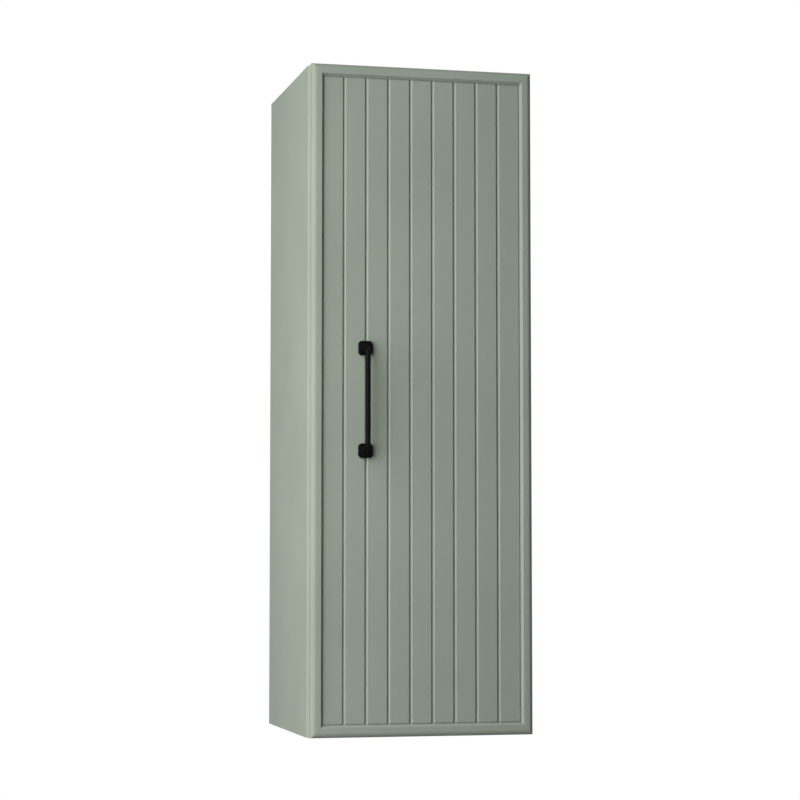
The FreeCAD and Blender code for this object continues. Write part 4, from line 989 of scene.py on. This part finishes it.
# %% [markdown]
# ## Floor and background
# The picture has a plain white ground. The floor lies well below the cabinet, because the cabinet hangs, and
# it keeps the shadow. Floor and world are white wherever the camera sees them: straight, mirrored in metal,
# or through clear plastic. To the light itself the floor is mid grey and the world is only a faint fill,
# because so much white all round would wash out the shading of the grooves. Light Path tells the two apart.

# %% Helpers for what is seen and what only lights
def combine(tree, operation, first, second):
    """A Math node of two inputs, each an output of another node or a number."""
    node = tree.nodes.new("ShaderNodeMath")
    node.operation = operation
    for socket, source in zip(node.inputs, (first, second)):
        if isinstance(source, float):
            socket.default_value = source
        else:
            tree.links.new(source, socket)
    return node.outputs[0]


def seen(tree):
    """1 for rays that the camera sees, straight, mirrored or through clear plastic, and 0 for light."""
    ray = tree.nodes.new("ShaderNodeLightPath").outputs
    indirect = combine(tree, "MAXIMUM", ray["Is Glossy Ray"], ray["Is Transmission Ray"])
    return combine(tree, "MAXIMUM", ray["Is Camera Ray"], indirect)


# %% Floor
FLOOR_DROP = 0.9
FLOOR_HALF = 4.0
FLOOR_GLOW = 0.8                # share of the floor that is plain white when seen; the rest takes the shadow
GLOW_STRENGTH = 1.2             # times that share, nearly 1
floor_z = solid_box[0].z - FLOOR_DROP
floor_corners = [(x * FLOOR_HALF, y * FLOOR_HALF, floor_z) for x, y in ((-1, -1), (1, -1), (1, 1), (-1, 1))]
floor_mesh = bpy.data.meshes.new("floor")
floor_mesh.from_pydata(floor_corners, [], [(0, 1, 2, 3)])
floor = bpy.data.objects.new("floor", floor_mesh)
bpy.context.scene.collection.objects.link(floor)
pale, pale_shader = new_finish("pale_floor", Specular_IOR_Level=0.1, Roughness=0.9)
tint(pale, pale_shader, uneven(pale, 0.8), (0.29, 0.29, 0.29), (0.31, 0.31, 0.31))
floor_mesh.materials.append(pale)
glow = add_node(pale, "Emission", Color=(1, 1, 1, 1), Strength=GLOW_STRENGTH)
mixed = add_node(pale, "MixShader")
join(pale, combine(pale.node_tree, "MULTIPLY", seen(pale.node_tree), FLOOR_GLOW), mixed.inputs["Fac"])
join(pale, pale_shader.outputs["BSDF"], mixed.inputs[1])
join(pale, glow.outputs["Emission"], mixed.inputs[2])
join(pale, mixed.outputs["Shader"], pale.node_tree.nodes["Material Output"].inputs["Surface"])
print("floor at", floor_z)

# %% World
FILL = 0.02
world = bpy.data.worlds.new("studio")
world.use_nodes = True
bpy.context.scene.world = world
ground = world.node_tree.nodes["Background"]
ground.inputs["Color"].default_value = (1, 1, 1, 1)
strength = combine(world.node_tree, "MAXIMUM", seen(world.node_tree), FILL)
world.node_tree.links.new(strength, ground.inputs["Strength"])
print("world:", world.name, "with a fill of", FILL)

# %% [markdown]
# ## Light
# Two soft lamps stand to the left at the cabinet's height, so the flanks that face left are bright and those
# that face right are dark: this is what makes the grooves readable. A third, very large one hangs high to the
# left of the camera and gives the flat faces their even tone. The fourth, large as well, hangs high behind
# the right side. It hardly reaches what the camera sees, and is there for the views from right and behind.

# %% Lamps
def soft_lamp(name, place, target, size, watts):
    """A rectangular lamp that looks at a target."""
    light = bpy.data.lights.new(name, "AREA")
    light.shape = "RECTANGLE"
    light.size, light.size_y = size
    light.energy = watts
    lamp = bpy.data.objects.new(name, light)
    bpy.context.scene.collection.objects.link(lamp)
    way = np.array(target) - np.array(place)
    turn = math.atan2(way[1], way[0]) - math.pi / 2
    tilt = math.atan2(way[2], math.hypot(way[0], way[1])) + math.pi / 2
    lamp.location = place
    lamp.rotation_euler = (tilt, 0, turn)


MIDDLE = (0, -0.2, -0.45)
soft_lamp("key_left", (-1.3, -1.2, -0.35), MIDDLE, (1.5, 1.9), 30)
soft_lamp("edge_left", (-2.1, -0.77, -0.65), MIDDLE, (1.8, 2.0), 3)
soft_lamp("high_left", (-3.2, -3.6, 3.6), MIDDLE, (4.0, 4.0), 184)
soft_lamp("back_right", (3.0, 2.6, 1.6), MIDDLE, (3.2, 3.2), 190)
print("lamps:", [light.name for light in bpy.data.lights])

# %% [markdown]
# ## Camera
# The picture was taken from the left and from below the middle, with a long lens nearly four metres away.
# The values come from fitting the cabinet's corners, grooves and handle to the picture. A lens shift would
# keep the uprights exactly parallel, but it would push the cabinet out of the middle of every other view, so
# the camera is tilted up a little instead.

# %% Camera
CAMERA_PLACE = (-0.880, -3.877, -0.704)
CAMERA_TURN = 13.433            # degrees
CAMERA_TILT = 3.893             # degrees
LENS = 104.81                   # mm
SENSOR = 36                     # mm
view = bpy.data.cameras.new("view")
view.sensor_width = SENSOR
view.lens = LENS
camera = bpy.data.objects.new("view", view)
camera.location = CAMERA_PLACE
camera.rotation_euler = (math.radians(90 + CAMERA_TILT), 0, math.radians(-CAMERA_TURN))
bpy.context.scene.collection.objects.link(camera)
bpy.context.scene.camera = camera
bpy.context.scene.view_settings.view_transform = "Standard"
print("lens:", view.lens)
